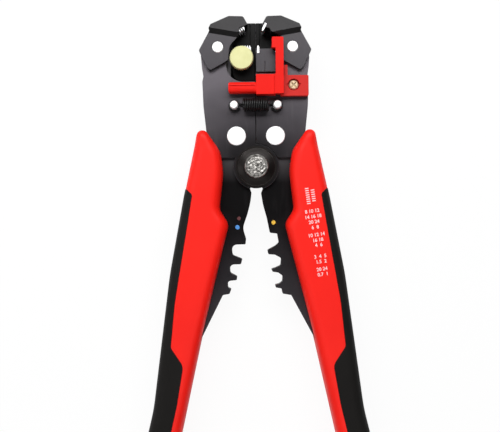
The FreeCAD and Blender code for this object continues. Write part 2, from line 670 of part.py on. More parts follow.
def make_upper_jaw(side):
    """An upper jaw is a channel whose walls hug the head plates and whose nose bites."""
    body = new_body(f"{side_name(side)}_upper_jaw", side * S.jaw_pin_out, S.jaw_pin_up)
    inward = -side
    seam_reach = S.jaw_pin_out - 0.1
    meeting = S.pad_line if side < 0 else S.bite_line
    underside = meeting + 0.1 + S.insert_proud
    end_low = closed_place(seam_reach, underside)
    end_top = closed_place(seam_reach, 8.0)
    floor_break = closed_place(S.jaw_pin_out - 4.2, underside)
    corners = [
        (-3.4, -10.3, 1.0), (-4.9, -8.9, 0.8), (-8.4, -1.4, 1.2), (-3.7, S.nose_floor + 0.3),
        (-3.9, S.nose_crease + 0.4, 0.6), (-3.1, S.nose_top - 4.5, 0.5), (4.9, S.nose_top, 1.5),
        (end_top[0], S.nose_top, 1.2), end_low, floor_break,
        (9.3, S.nose_floor - 2.0, 2.0), (5.3, 0.6, 6.0), (4.56, -5.9, 0.6),
    ]
    outline = new_sketch(body, height=S.mid_height)
    add_loop(outline, [(inward * corner[0], *corner[1:]) for corner in corners])
    pad(body, outline, 2 * S.nose_half, both_ways=True)
    profile = new_sketch(body, "YZ_Plane")
    profile.AttachmentOffset = FreeCAD.Placement(Vector(0, 0, 0), FreeCAD.Rotation(Vector(0, 1, 0), 1))
    bind(profile, "AttachmentOffset.Rotation.Angle", side * S.crease_slope)
    roof_slope = (S.nose_half - S.nose_top_half) / (S.nose_top - S.nose_crease)
    past = 3.0
    for way in (-1, 1):
        add_loop(profile, [
            (-FAR, S.mid_height + way * FLANGE_OUTER),
            (S.nose_crease - 2.2, S.mid_height + way * FLANGE_OUTER),
            (S.nose_crease, S.mid_height + way * S.nose_half),
            (S.nose_top + past, S.mid_height + way * (S.nose_top_half - past * roof_slope)),
            (S.nose_top + past, S.mid_height + way * FAR),
            (-FAR, S.mid_height + way * FAR),
        ])
    pocket(body, profile, 2 * FAR, both_ways=True)
    channel = new_sketch(body, "YZ_Plane")
    add_loop(channel, [
        (-FAR, S.mid_height - FLANGE_INNER), (S.nose_floor, S.mid_height - FLANGE_INNER),
        (S.nose_floor, S.mid_height + FLANGE_INNER), (-FAR, S.mid_height + FLANGE_INNER),
    ])
    pocket(body, channel, 2 * FAR, both_ways=True)
    drill(body, 0, 0, S.jaw_pin_radius + S.pin_gap)
    tail = new_sketch(body, height=S.mid_height)
    add_circle(tail, inward * TAIL_IN, -TAIL_DOWN, S.tail_pin_radius + S.seat_gap)
    pocket(body, tail, 2 * (FLANGE_OUTER - 0.6), both_ways=True)
    relief = new_sketch(body, height=S.mid_height - PLATE_OUTER - 0.2)
    relief_near, relief_far = 1.8, 5.2
    add_loop(relief, [
        (inward * relief_near, S.nose_floor - 0.9), (inward * FAR, S.nose_floor - 0.9),
        (inward * FAR, S.nose_top + 5.3), (inward * relief_far, S.nose_top + 5.3),
    ])
    pocket(body, relief, S.plate_thick + 0.4, upward=True)
    seat = new_sketch(body, height=insert_back() - S.seat_gap, turn=jaw_turn(side))
    inner, outer, low, high = upper_insert(side)
    gap = S.seat_gap
    add_loop(seat, [
        (inward * (inner - gap), -3.0), (inward * (outer + gap), -3.0),
        (inward * (outer + gap), high + gap), (inward * (inner - gap), high + gap),
    ])
    deep = S.insert_half if side < 0 else S.nose_half
    pocket(body, seat, S.mid_height + deep + 2 * gap - insert_back(), upward=True)
    if side > 0:
        room = new_sketch(body, height=S.mid_height + FLANGE_INNER - 0.05, turn=jaw_turn(side))
        finger_in = S.jaw_pin_out - 3.5
        finger_out = S.jaw_pin_out - S.arm_out - 0.8
        add_loop(room, [
            (-finger_in, -6.0), (-finger_out, -6.0),
            (-finger_out, S.bite_line + 0.9, 0.5), (-finger_in, S.bite_line + 0.9),
        ])
        pocket(body, room, S.nose_half - FLANGE_INNER + 0.2, upward=True)
    finished.append(body)
    return body


def insert_back():
    """Height of the back end of every pad and blade, just in front of the back plates."""
    return S.mid_height - PLATE_INNER + 0.25


def closed_place(reach, rise):
    """Where a place on the closed jaw, measured inward and up from its pin, lies when open."""
    across = reach * S.jaw_close.cos() - rise * S.jaw_close.sin()
    up = reach * S.jaw_close.sin() + rise * S.jaw_close.cos()
    return across, up


def upper_insert(side):
    """Inner, outer, lower and upper edge of the pad or blade, on the closed jaw."""
    if side < 0:
        outer = S.jaw_pin_out - S.pad_near
        return outer - S.pad_width, outer, S.pad_line + 0.1, S.pad_line + 2.6
    middle = S.jaw_pin_out - S.blade_out
    half = S.blade_thick / 2
    return middle - half, middle + half, S.bite_line - 0.05, S.bite_line + 3.7


def comb(start, finish, root, tip, count):
    """A row of pointed teeth from start to finish, between the root and the tip height."""
    step = (finish - start) / count
    corners = []
    for index in range(count):
        corners.append((start + step * (index + 0.1), root))
        corners.append((start + step * (index + 0.5), tip))
        corners.append((start + step * (index + 0.9), root))
    return corners


def make_upper_inserts():
    """The left upper jaw holds a toothed pad, and the right one a blade."""
    inner, outer, low, high = upper_insert(-1)
    pad_body = new_body("upper_grip_pad", -S.jaw_pin_out, S.jaw_pin_up, S.jaw_close)
    tall = S.mid_height + S.insert_half - insert_back()
    sketch = new_sketch(pad_body, height=insert_back())
    root = low + S.upper_teeth
    add_loop(sketch, comb(inner, outer, root, low, 4) + [
        (outer, root), (outer, high), (inner, high), (inner, root),
    ])
    pad(pad_body, sketch, tall)
    finished.append(pad_body)
    inner, outer, low, high = upper_insert(1)
    blade_body = new_body("upper_blade", S.jaw_pin_out, S.jaw_pin_up, -S.jaw_close)
    sketch = new_sketch(blade_body, height=insert_back())
    add_loop(sketch, mirrored(-1, [
        (inner + 0.35, low), (outer - 0.35, low), (outer, low + 0.8), (outer, high), (inner, high),
        (inner, low + 0.8),
    ]))
    pad(blade_body, sketch, tall)
    finished.append(blade_body)


def lower_top():
    return S.jaw_pin_up + S.bite_line - 1.6


def make_lower_jaws():
    """The lower jaws are blocks pegged into the back plates."""
    floor = S.mid_height - PLATE_INNER + 0.05
    seam = S.seam_gap / 2 + 0.1
    top = lower_top()
    gap = S.seat_gap
    shoulder = S.jaw_pin_up - 3.1
    shapes = {
        -1: [
            (seam, WINDOW_FLOOR + 0.3), (S.lower_outer, WINDOW_FLOOR + 0.3, 3.6),
            (S.lower_outer, shoulder), (S.lower_outer - 2.0, top), (seam, top),
        ],
        1: [
            (seam, NOTCH_FLOOR + gap), (S.lower_outer - 0.6, NOTCH_FLOOR + gap, 0.5),
            (S.lower_outer - 0.6, shoulder), (S.lower_outer - 2.0, top), (seam, top),
        ],
    }
    fronts = {-1: LOWER_FRONT, 1: LOWER_PROUD}
    for side in (-1, 1):
        body = new_body(f"{side_name(side)}_lower_jaw")
        sketch = new_sketch(body, height=floor)
        add_loop(sketch, mirrored(side, shapes[side]))
        pad(body, sketch, fronts[side] - floor)
        for x, y in peg_places(side):
            peg = new_sketch(body, height=S.mid_height - PLATE_OUTER + 0.1)
            add_circle(peg, x, y, S.peg_radius)
            pad(body, peg, S.plate_thick + 0.2)
        seat = new_sketch(body, height=S.mid_height)
        inner, outer, low, high = lower_insert(side)
        add_loop(seat, mirrored(side, [
            (inner - gap, low - gap), (outer + gap, low - gap), (outer + gap, FAR + 10),
            (inner - gap, FAR + 10),
        ]))
        pocket(body, seat, 2 * FAR, both_ways=True)
        if side < 0:
            bore = new_sketch(body, height=fronts[side])
            add_circle(bore, -S.knob_out, KNOB_UP, S.knob_stem_radius + S.pin_gap)
            pocket(body, bore, 3.2)
        else:
            scribe = new_sketch(body, height=fronts[side])
            add_loop(scribe, [
                (4.1, NOTCH_FLOOR - 1.0), (4.5, NOTCH_FLOOR - 1.0), (4.5, NOTCH_FLOOR + 4.5),
                (4.1, NOTCH_FLOOR + 4.5),
            ])
            pocket(body, scribe, 0.4)
        finished.append(body)


def lower_insert(side):
    """Inner, outer, lower and upper edge of the pad or blade in a lower jaw."""
    if side < 0:
        high = S.jaw_pin_up + S.pad_line - 0.15
        return S.pad_near, S.pad_near + S.pad_width, high - S.lower_teeth - 2.0, high
    high = S.jaw_pin_up + S.bite_line - 0.15
    half = S.blade_thick / 2
    return S.blade_out - half, S.blade_out + half, high - 3.4, high


def make_lower_inserts():
    deep = insert_back()
    inner, outer, low, high = lower_insert(-1)
    body = new_body("lower_grip_pad")
    sketch = new_sketch(body, height=deep)
    root = high - S.lower_teeth
    add_loop(sketch, mirrored(-1, comb(inner, outer, root, high, 4) + [
        (outer, root), (outer, low), (inner, low), (inner, root),
    ]))
    pad(body, sketch, LOWER_FRONT - 0.05 - deep)
    finished.append(body)
    inner, outer, low, high = lower_insert(1)
    body = new_body("lower_blade")
    sketch = new_sketch(body, height=deep)
    add_loop(sketch, [
        (inner, low), (outer, low), (outer, high - 0.8), (outer - 0.35, high), (inner + 0.35, high),
        (inner, high - 0.8),
    ])
    pad(body, sketch, LOWER_PROUD + 0.2 - deep)
    finished.append(body)


def make_knob():
    """The brass knob sets how hard the left jaws grip. Its thread runs into the lower jaw."""
    stem_end = LOWER_FRONT - 2.8
    neck = S.knob_stem_radius + 1.2
    under = LOWER_FRONT + S.pin_gap
    base = PLATE_FRONT + 2.6
    top = base + S.knob_tall
    body = turned("tension_knob", [
        (0, stem_end), (S.knob_stem_radius, stem_end), (S.knob_stem_radius, under), (neck, under),
        (neck, base), (S.knob_radius, base), (S.knob_radius, top - 0.4), (S.knob_radius - 0.4, top),
        (0, top),
    ], -S.knob_out, KNOB_UP)
    knurl = new_sketch(body, height=base - 0.1)
    add_circle(knurl, S.knob_radius + 0.15, 0, 0.35)
    cut = pocket(body, knurl, S.knob_tall + 1.0, upward=True)
    doc.recompute()
    pattern = body.newObject("PartDesign::PolarPattern", "tension_knob_knurl")
    pattern.Originals = [cut]
    pattern.Axis = ([item for item in body.Origin.OriginFeatures if item.Role == "Z_Axis"][0], [""])
    pattern.Angle = 360
    pattern.Occurrences = 36
    body.Tip = pattern
    finished.append(body)


def make_wire_stop():
    """A red slider on a screwed-down base stops the wire's end, to set the stripped length."""
    low = PLATE_FRONT + 0.05
    gap = S.layer_gap
    base = new_body("wire_stop_base")
    plate_left = S.stop_out - 6.0
    tab_left = S.stop_out - 4.2
    tab_right = S.stop_out - 2.7
    plate_right = S.stop_out + 6.6
    plate_low = STOP_UP - 5.0
    plate_high = STOP_UP + 4.2
    sketch = new_sketch(base, height=low)
    add_loop(sketch, [
        (plate_left, plate_low, 0.6), (plate_right, plate_low, 0.6),
        (plate_right, plate_high, 0.6), (tab_right, plate_high),
        (tab_right, plate_high + 4.6, 0.4), (tab_left, plate_high + 4.6, 0.4),
        (tab_left, plate_high), (plate_left, plate_high, 0.6),
    ])
    pad(base, sketch, S.stop_plate_thick)
    rail_low = STOP_UP - S.rail_wide / 2
    rail_high = STOP_UP + S.rail_wide / 2
    rail = new_sketch(base, height=low)
    add_loop(rail, [
        (S.seam_gap / 2 + 0.2, rail_low), (plate_left + 1.0, rail_low),
        (plate_left + 1.0, rail_high), (S.seam_gap / 2 + 0.2, rail_high),
    ])
    pad(base, rail, S.rail_thick)
    drill(base, S.stop_out, STOP_UP, S.stop_screw_radius + S.seat_gap)
    sink = new_sketch(base, height=low + S.stop_plate_thick)
    add_circle(sink, S.stop_out, STOP_UP, S.stop_head_radius + 0.5)
    pocket(base, sink, S.stop_sink)
    ears = new_sketch(base, height=low + S.stop_plate_thick)
    ear_reach = S.stop_head_radius + 1.1
    add_loop(ears, [
        (S.stop_out - ear_reach, STOP_UP - 0.5), (S.stop_out + ear_reach, STOP_UP - 0.5),
        (S.stop_out + ear_reach, STOP_UP + 0.5), (S.stop_out - ear_reach, STOP_UP + 0.5),
    ])
    pocket(base, ears, 0.7)
    finished.append(base)

    slider = new_body("wire_stop_slider")
    block_left = S.seam_gap / 2 + 0.05
    arm_left = S.arm_out - S.arm_wide / 2
    arm_right = S.arm_out + S.arm_wide / 2
    block_low = rail_low - 1.9
    block_high = rail_high + 1.7
    block_top = ARM_TOP - 0.9
    sketch = new_sketch(slider, height=low + gap)
    add_loop(sketch, [
        (block_left, block_low), (arm_left, block_low), (arm_left, block_high),
        (block_left, block_high),
    ])
    pad(slider, sketch, block_top - low - gap)
    rod = new_sketch(slider, "YZ_Plane", height=block_left - 12.3)
    rod_low = block_low + 0.7
    rod_floor = PLATE_FRONT + 0.4
    add_loop(rod, [
        (rod_low, rod_floor, 1.4), (rod_low + 5.0, rod_floor, 1.4),
        (rod_low + 5.0, block_top - 0.4, 1.9), (rod_low, block_top - 0.4, 1.9),
    ])
    pad(slider, rod, 12.5)
    tip = new_sketch(slider, height=low - 1.0)
    rod_high = rod_low + 5.0
    tip_left = block_left - 12.4
    for edge, way in ((rod_low, 1), (rod_high, -1)):
        add_loop(tip, [
            (tip_left, edge - way * 0.1), (tip_left + 1.0, edge - way * 0.1),
            (tip_left, edge + way * 0.9),
        ])
    pocket(slider, tip, FAR, upward=True)
    line = new_sketch(slider, height=block_top - 0.85)
    add_loop(line, [
        (tip_left + 0.6, rod_low + 3.0), (block_left - 0.4, rod_low + 3.0),
        (block_left - 0.4, rod_low + 3.4), (tip_left + 0.6, rod_low + 3.4),
    ])
    pocket(slider, line, 2.0, upward=True)
    groove = new_sketch(slider, height=low - 0.5)
    groove_left = block_left - 1.8
    add_loop(groove, [
        (groove_left, rail_low - gap), (FAR, rail_low - gap), (FAR, rail_high + gap),
        (groove_left, rail_high + gap),
    ])
    pocket(slider, groove, S.rail_thick + gap + 0.5, upward=True)
    over_base = low + S.stop_plate_thick + gap
    arm_high = S.jaw_pin_up + 3.4
    hook_low = S.jaw_pin_up - 1.3
    over_nose = S.mid_height + S.nose_half + S.swing_gap
    root = new_sketch(slider, height=over_base)
    add_loop(root, [
        (arm_left - 0.5, block_low + 0.1), (arm_right, block_low + 0.1),
        (arm_right, S.jaw_pin_up - 5.0), (arm_left, S.jaw_pin_up - 5.0), (arm_left, block_high),
        (arm_left - 0.5, block_high),
    ])
    pad(slider, root, ARM_TOP - over_base)
    hook_left = arm_left - 1.6
    hook = new_sketch(slider, height=over_nose)
    add_loop(hook, [
        (arm_left, S.jaw_pin_up - 6.0), (arm_right, S.jaw_pin_up - 6.0), (arm_right, arm_high, 0.6),
        (hook_left, arm_high, 0.6), (hook_left, hook_low), (arm_left, hook_low),
    ])
    pad(slider, hook, ARM_TOP - over_nose)
    finger = new_sketch(slider, height=over_nose + 0.5)
    finger_low = lower_top() + 0.25
    add_loop(finger, [
        (hook_left, finger_low), (hook_left + 1.9, finger_low), (hook_left + 1.9, finger_low + 1.8),
        (hook_left, finger_low + 1.8),
    ])
    tooth = pad(slider, finger, 10.0)
    tooth.Reversed = True
    finished.append(slider)

    seat = low + S.stop_plate_thick - S.stop_sink + 0.02
    tip_end = S.mid_height + PLATE_INNER + 0.1
    screw = turned("stop_screw", [
        (0, tip_end), (S.stop_screw_radius, tip_end), (S.stop_screw_radius, seat), (S.stop_head_radius, seat),
        (S.stop_head_radius, seat + 0.9), (S.stop_head_radius - 0.5, seat + 1.5), (0, seat + 1.5),
    ], S.stop_out, STOP_UP)
    for turn in (45, -45):
        slot = new_sketch(screw, height=seat + 0.6, turn=turn)
        reach = S.stop_head_radius - 0.75
        add_loop(slot, [(-reach, -0.3), (reach, -0.3), (reach, 0.3), (-reach, 0.3)])
        pocket(screw, slot, 2.0, upward=True)
    finished.append(screw)


def make_pivot():
    """The bolt, washers and nut hold both halves and both levers on one axis."""
    outer = PLATE_OUTER + 0.05
    bore = S.bolt_radius + S.pin_gap
    brim = S.washer_radius - S.washer_brim
    for name, way in (("front_washer", 1), ("back_washer", -1)):
        near = S.mid_height + way * outer
        finished.append(turned(name, [
            (bore, near), (S.washer_radius, near), (S.washer_radius, near + way * 0.5),
            (brim + 0.15, near + way * 0.5), (brim, near + way * 0.35), (brim - 0.15, near + way * 0.7),
            (brim - 2.9, near + way * S.washer_thick, 6.0), (bore, near + way * S.washer_thick),
        ]))
    seat = S.mid_height + outer + S.washer_thick + 0.02
    head = S.bolt_head_radius
    top = seat + S.bolt_head_tall
    rim = head - 0.8
    finished.append(turned("pivot_bolt", [
        (0, 0), (S.bolt_radius - 0.4, 0), (S.bolt_radius, 0.4), (S.bolt_radius, seat), (head, seat),
        (head, top - 0.6), (head - 0.3, top), (rim, top), (rim - 0.2, top - 0.3), (0, top - 0.1),
    ]))
    back_seat = S.mid_height - outer - S.washer_thick - 0.02
    nut = new_body("pivot_nut")
    add_hexagon(nut, 0.1, S.nut_flats, back_seat - 0.1)
    bevel_hexagon(nut, S.nut_flats, 0.1, -1)
    drill(nut, 0, 0, S.bolt_radius + S.seat_gap)
    finished.append(nut)


def add_hexagon(body, height, flats, tall):
    """Adds a six-sided prism that stands on the given height."""
    crown = flats / math.sqrt(3)
    sketch = new_sketch(body, height=height)
    corners = []
    for index in range(6):
        angle = math.radians(60 * index)
        corners.append((crown * math.cos(angle), crown * math.sin(angle)))
    add_loop(sketch, corners)
    pad(body, sketch, tall)


def bevel_hexagon(body, flats, face, way):
    """Turns the corners off a hexagon's outer face, as on a real nut."""
    face = as_size(face)
    crown = flats / math.sqrt(3)
    sketch = new_sketch(body, "XZ_Plane")
    add_loop(sketch, [
        (crown * 0.8, face + way * 0.5), (crown * 0.8, face), (crown + 0.3, face - way * 1.3),
        (crown + 3.0, face - way * 1.3), (crown + 3.0, face + way * 0.5),
    ])
    bevel = body.newObject("PartDesign::Groove", f"{body.Name}_bevel")
    bevel.Profile = sketch
    bevel.ReferenceAxis = (sketch, ["V_Axis"])
    bevel.Angle = 360


def make_tension_spring(name, way):
    """A close-wound spring with a hook round each spring pin. The wire's turns are ridges here."""
    wire = S.spring_wire.value
    radius = S.spring_radius.value
    axis_y = S.spring_pin_up.value
    middle = S.mid_height.value
    axis_z = middle + way * (PLATE_OUTER.value + 0.15 + radius)
    turns = round(S.spring_turns.value)
    start = -turns * wire / 2
    edges = []
    for index in range(turns):
        left = Vector(start + index * wire, radius - wire / 2, 0)
        crest = Vector(start + (index + 0.5) * wire, radius, 0)
        right = Vector(start + (index + 1) * wire, radius - wire / 2, 0)
        edges.append(Part.Arc(left, crest, right).toShape())
    inner = radius - wire
    corners = [
        Vector(-start, radius - wire / 2, 0), Vector(-start, inner, 0), Vector(start, inner, 0),
        Vector(start, radius - wire / 2, 0),
    ]
    for first, last in zip(corners, corners[1:]):
        edges.append(Part.LineSegment(first, last).toShape())
    face = Part.Face(Part.Wire(edges))
    coil = face.revolve(Vector(0, 0, 0), Vector(1, 0, 0), 360)
    coil.translate(Vector(0, axis_y, axis_z))
    low, high = hook_band()
    hook_z = middle + way * (low.value + high.value) / 2
    ring = S.spring_pin_radius.value + wire / 2
    shape = coil
    for side in (-1, 1):
        centre = Vector(side * (S.spring_pin_out.value - 0.25), axis_y, hook_z)
        loop = Part.makeTorus(ring, wire / 2, centre, Vector(0, 0, 1))
        coil_end = Vector(side * (-start - wire / 2), axis_y, axis_z - way * (radius - wire / 2))
        reach = Vector(centre.x - side * ring, axis_y, hook_z)
        path = reach - coil_end
        link = Part.makeCylinder(wire / 2, path.Length, coil_end, path)
        shape = shape.fuse(loop).fuse(link)
    shape = shape.removeSplitter()
    feature = doc.addObject("Part::Feature", name)
    feature.Label = name
    feature.Shape = shape.Solids[0] if len(shape.Solids) == 1 else shape
    finished.append(feature)


def handle_form(name, side):
    """The whole outer form of a handle, rounded along both faces."""
    body = new_body(name)
    heel = S.grip_length
    corners = [(38.4, -heel + 0.8, 6.0)] + HANDLE_INNER + HANDLE_OUTER + [(52.9, -heel + 3.4, 7.0)]
    sketch = new_sketch(body, height=S.mid_height - S.shell_thick / 2)
    add_loop(sketch, mirrored(side, corners))
    solid = pad(body, sketch, S.shell_thick)
    doc.recompute()
    flat = []
    for index, face in enumerate(solid.Shape.Faces, start=1):
        if abs(face.normalAt(0, 0).z) > 0.99:
            flat.append(f"Face{index}")
    rounding = body.newObject("PartDesign::Fillet", f"{name}_rounding")
    rounding.Base = (solid, flat)
    bind(rounding, "Radius", S.shell_round)
    body.Tip = rounding
    return body


def add_tool(name, side, low, tall, corners):
    """A straight block of the given outline, used to divide or hollow a handle."""
    body = new_body(name)
    sketch = new_sketch(body, height=low)
    add_loop(sketch, mirrored(side, corners))
    pad(body, sketch, tall)
    return body


def make_handle(side):
    """A red shell is moulded round the tang, and a black soft grip round the shell's outside."""
    name = side_name(side)
    form = handle_form(f"{name}_form", side)
    zone = add_tool(f"{name}_grip_zone", side, S.mid_height - S.shell_thick, 2 * S.shell_thick, [
        (45.0, -9.3), (31.0, -10.0, 0.8), (28.4, -12.4, 1.6), (31.2, -29.0, 60.0),
        (36.5, along(0.025), 80.0), (38.5, along(0.275), 3.0), (33.1, along(0.378), 5.0),
        (36.0, along(0.595), 60.0), (44.8, along(1.08)), (80.0, along(1.08)), (80.0, -9.3),
    ])
    grip = doc.addObject("Part::Common", f"{name}_soft_grip")
    grip.Base = form
    grip.Tool = zone
    rest = doc.addObject("Part::Cut", f"{name}_shell_blank")
    rest.Base = form
    rest.Tool = zone
    gap = S.seat_gap
    deep = LEVER_FACE + gap
    tang = [(x + gap, y, *more) for x, y, *more in TANG_OUTER]
    tang[-1] = (tang[-1][0], tang[-1][1] - gap)
    tang_room = add_tool(f"{name}_tang_room", side, S.mid_height - deep, 2 * deep, [
        (22.5, 25.0), (22.5, 6.0),
    ] + tang + [
        (TANG_INNER[2][0] - gap, tang[-1][1]), (TANG_INNER[1][0] - gap, TANG_INNER[1][1]),
        (TANG_INNER[0][0] - gap, TANG_INNER[0][1]), (5.0, -NESTS_END - 2.0), (5.0, 25.0),
    ])
    gap_face = PLATE_OUTER + S.swing_gap
    plate_room = add_tool(f"{name}_plate_room", side, S.mid_height - gap_face, 2 * gap_face, [
        (24.0, 25.0), (24.0, S.body_pin_up), (HEAD_WIDE - 1.9, S.plate_foot - 1.0, 3.0),
        (HEAD_WIDE - 5.0, S.plate_foot - 2.6, 3.0), (5.0, S.plate_foot - 2.6), (5.0, 25.0),
    ])
    hollow = doc.addObject("Part::Fuse", f"{name}_hollow")
    hollow.Base = tang_room
    hollow.Tool = plate_room
    shell = doc.addObject("Part::Cut", f"{name}_handle_shell")
    shell.Base = rest
    shell.Tool = hollow
    for piece, label in ((grip, f"{name}_soft_grip"), (shell, f"{name}_handle_shell")):
        piece.Label = label
        finished.append(piece)


make_head_plates()
make_pins()
for lever_side, lever_teeth in ((-1, LEFT_TEETH), (1, RIGHT_TEETH)):
    make_lever(lever_side, lever_teeth)
    make_return_spring(lever_side)
    make_upper_jaw(lever_side)
    make_handle(lever_side)
make_upper_inserts()
make_lower_jaws()
make_lower_inserts()
make_knob()
make_wire_stop()
make_pivot()
make_tension_spring("front_tension_spring", 1)
make_tension_spring("back_tension_spring", -1)
doc.recompute()

for item in doc.Objects:
    if "Invalid" in item.State or "Error" in item.State:
        raise RuntimeError(f"{item.Label} did not build: {item.State}")
for item in finished:
    if item.Shape.isNull() or not item.Shape.isValid() or not item.Shape.Solids:
        raise RuntimeError(f"{item.Label} has no sound solid")

os.makedirs("parts", exist_ok=True)
for item in finished:
    item.Shape.exportStep(f"parts/{item.Label}.step")
    print(item.Label, len(item.Shape.Solids), round(item.Shape.Volume, 1))
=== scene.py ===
# %% [markdown]
# # A self-adjusting wire stripper
# The tool lies on its back on a white table. Its levers, plates, jaws, pins and blades are the CAD
# model's own solids, which come in finished and only need good materials. What a CAD model shows
# poorly is made here: the softly rounded handles, the two coiled springs, the printed figures, the
# paint dots and the rough face of the pivot bolt.

# %% Load the CAD model
import math

import bmesh
import bpy
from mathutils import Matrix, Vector, noise


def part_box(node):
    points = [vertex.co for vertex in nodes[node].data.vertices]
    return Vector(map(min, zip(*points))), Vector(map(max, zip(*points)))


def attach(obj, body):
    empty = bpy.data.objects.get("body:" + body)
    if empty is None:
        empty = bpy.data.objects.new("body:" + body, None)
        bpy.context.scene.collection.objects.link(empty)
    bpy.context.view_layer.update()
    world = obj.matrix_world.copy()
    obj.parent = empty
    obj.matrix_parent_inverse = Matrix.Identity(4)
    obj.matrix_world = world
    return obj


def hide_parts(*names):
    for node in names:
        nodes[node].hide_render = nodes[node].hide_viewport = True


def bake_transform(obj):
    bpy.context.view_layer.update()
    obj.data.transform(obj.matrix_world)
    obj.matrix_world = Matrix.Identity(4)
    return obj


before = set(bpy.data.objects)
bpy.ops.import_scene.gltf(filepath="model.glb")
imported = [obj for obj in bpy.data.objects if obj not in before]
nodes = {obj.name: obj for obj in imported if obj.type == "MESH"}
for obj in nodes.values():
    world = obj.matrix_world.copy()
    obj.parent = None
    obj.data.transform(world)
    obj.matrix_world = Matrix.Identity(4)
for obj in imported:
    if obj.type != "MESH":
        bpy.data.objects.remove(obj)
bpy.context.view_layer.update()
MM = 0.001
MID_HEIGHT = 11.0  # Height of the tool's middle plane above the table, in millimetres.

# %% [markdown]
# ## Camera
# The photograph looks straight down at the tool from about a third of a metre, so the tall pins
# lean a little away from the middle of the picture. The tool lies turned by half a degree, and the
# camera is rolled the other way instead, because the CAD model stays where it is.

# %% Place the camera
CAMERA_PLACE = Vector((-3.04, -22.04, 341.0)) * MM
VIEW_WIDTH = math.radians(38.0)
CAMERA_ROLL = math.radians(-0.58)

camera_data = bpy.data.cameras.new("camera")
camera_data.sensor_width = 36.0
camera_data.lens = camera_data.sensor_width / 2 / math.tan(VIEW_WIDTH / 2)
camera = bpy.data.objects.new("camera", camera_data)
camera.location = CAMERA_PLACE
camera.rotation_euler = (0, 0, CAMERA_ROLL)
bpy.context.scene.collection.objects.link(camera)
bpy.context.scene.camera = camera
bpy.context.scene.view_settings.view_transform = "Standard"

# %% [markdown]
# ## Shader sums as plain Python
# A material's pattern is a row of sums on sockets. Wiring each sum by hand hides what it says, so
# this class wraps a socket and lets ordinary operators add the Math nodes.


# %% Wrap a socket
class Signal:
    """A socket that takes part in sums. Each sum adds a Math node to its tree."""

    def __init__(self, tree, socket):
        self.tree = tree
        self.socket = socket

    def sum_with(self, operation, *values, clamp=False):
        node = self.tree.nodes.new("ShaderNodeMath")
        node.operation = operation
        node.use_clamp = clamp
        for place, value in zip(node.inputs, values):
            connect(self.tree, place, value)
        return Signal(self.tree, node.outputs[0])

    def __add__(self, other):
        return self.sum_with("ADD", self, other)

    def __radd__(self, other):
        return self.sum_with("ADD", other, self)

    def __sub__(self, other):
        return self.sum_with("SUBTRACT", self, other)

    def __rsub__(self, other):
        return self.sum_with("SUBTRACT", other, self)

    def __mul__(self, other):
        return self.sum_with("MULTIPLY", self, other)

    def __truediv__(self, other):
        return self.sum_with("DIVIDE", self, other)

    def held(self):
        """The same signal, held between 0 and 1."""
        return self.sum_with("ADD", self, 0.0, clamp=True)

    def size(self):
        return self.sum_with("ABSOLUTE", self)


def connect(tree, place, value):
    """Feeds a socket with a signal, a socket, a number or a colour."""
    if isinstance(value, Signal):
        tree.links.new(value.socket, place)
    elif isinstance(value, bpy.types.NodeSocket):
        tree.links.new(value, place)
    else:
        place.default_value = value


# %% [markdown]
# ## One finish, one class
# Every finish here is a Principled shader with a pattern in its colour, its roughness and its
# bump. Patterns read Object coordinates, and all pieces share the tool's own frame, so a grain
# has the same scale on every piece. The Bevel node rounds edges for the light alone, as a
# tumbled or moulded edge does, and the difference between it and the true normal marks edges,
# where a finish wears first.


# %% Build finishes
def tone(red, green, blue):
    """A colour as it is picked from a screen, 0 to 255, turned into light."""
    light = []
    for part in (red, green, blue):
        share = part / 255
        light.append(share / 12.92 if share <= 0.04045 else ((share + 0.055) / 1.055) ** 2.4)
    return (*light, 1.0)


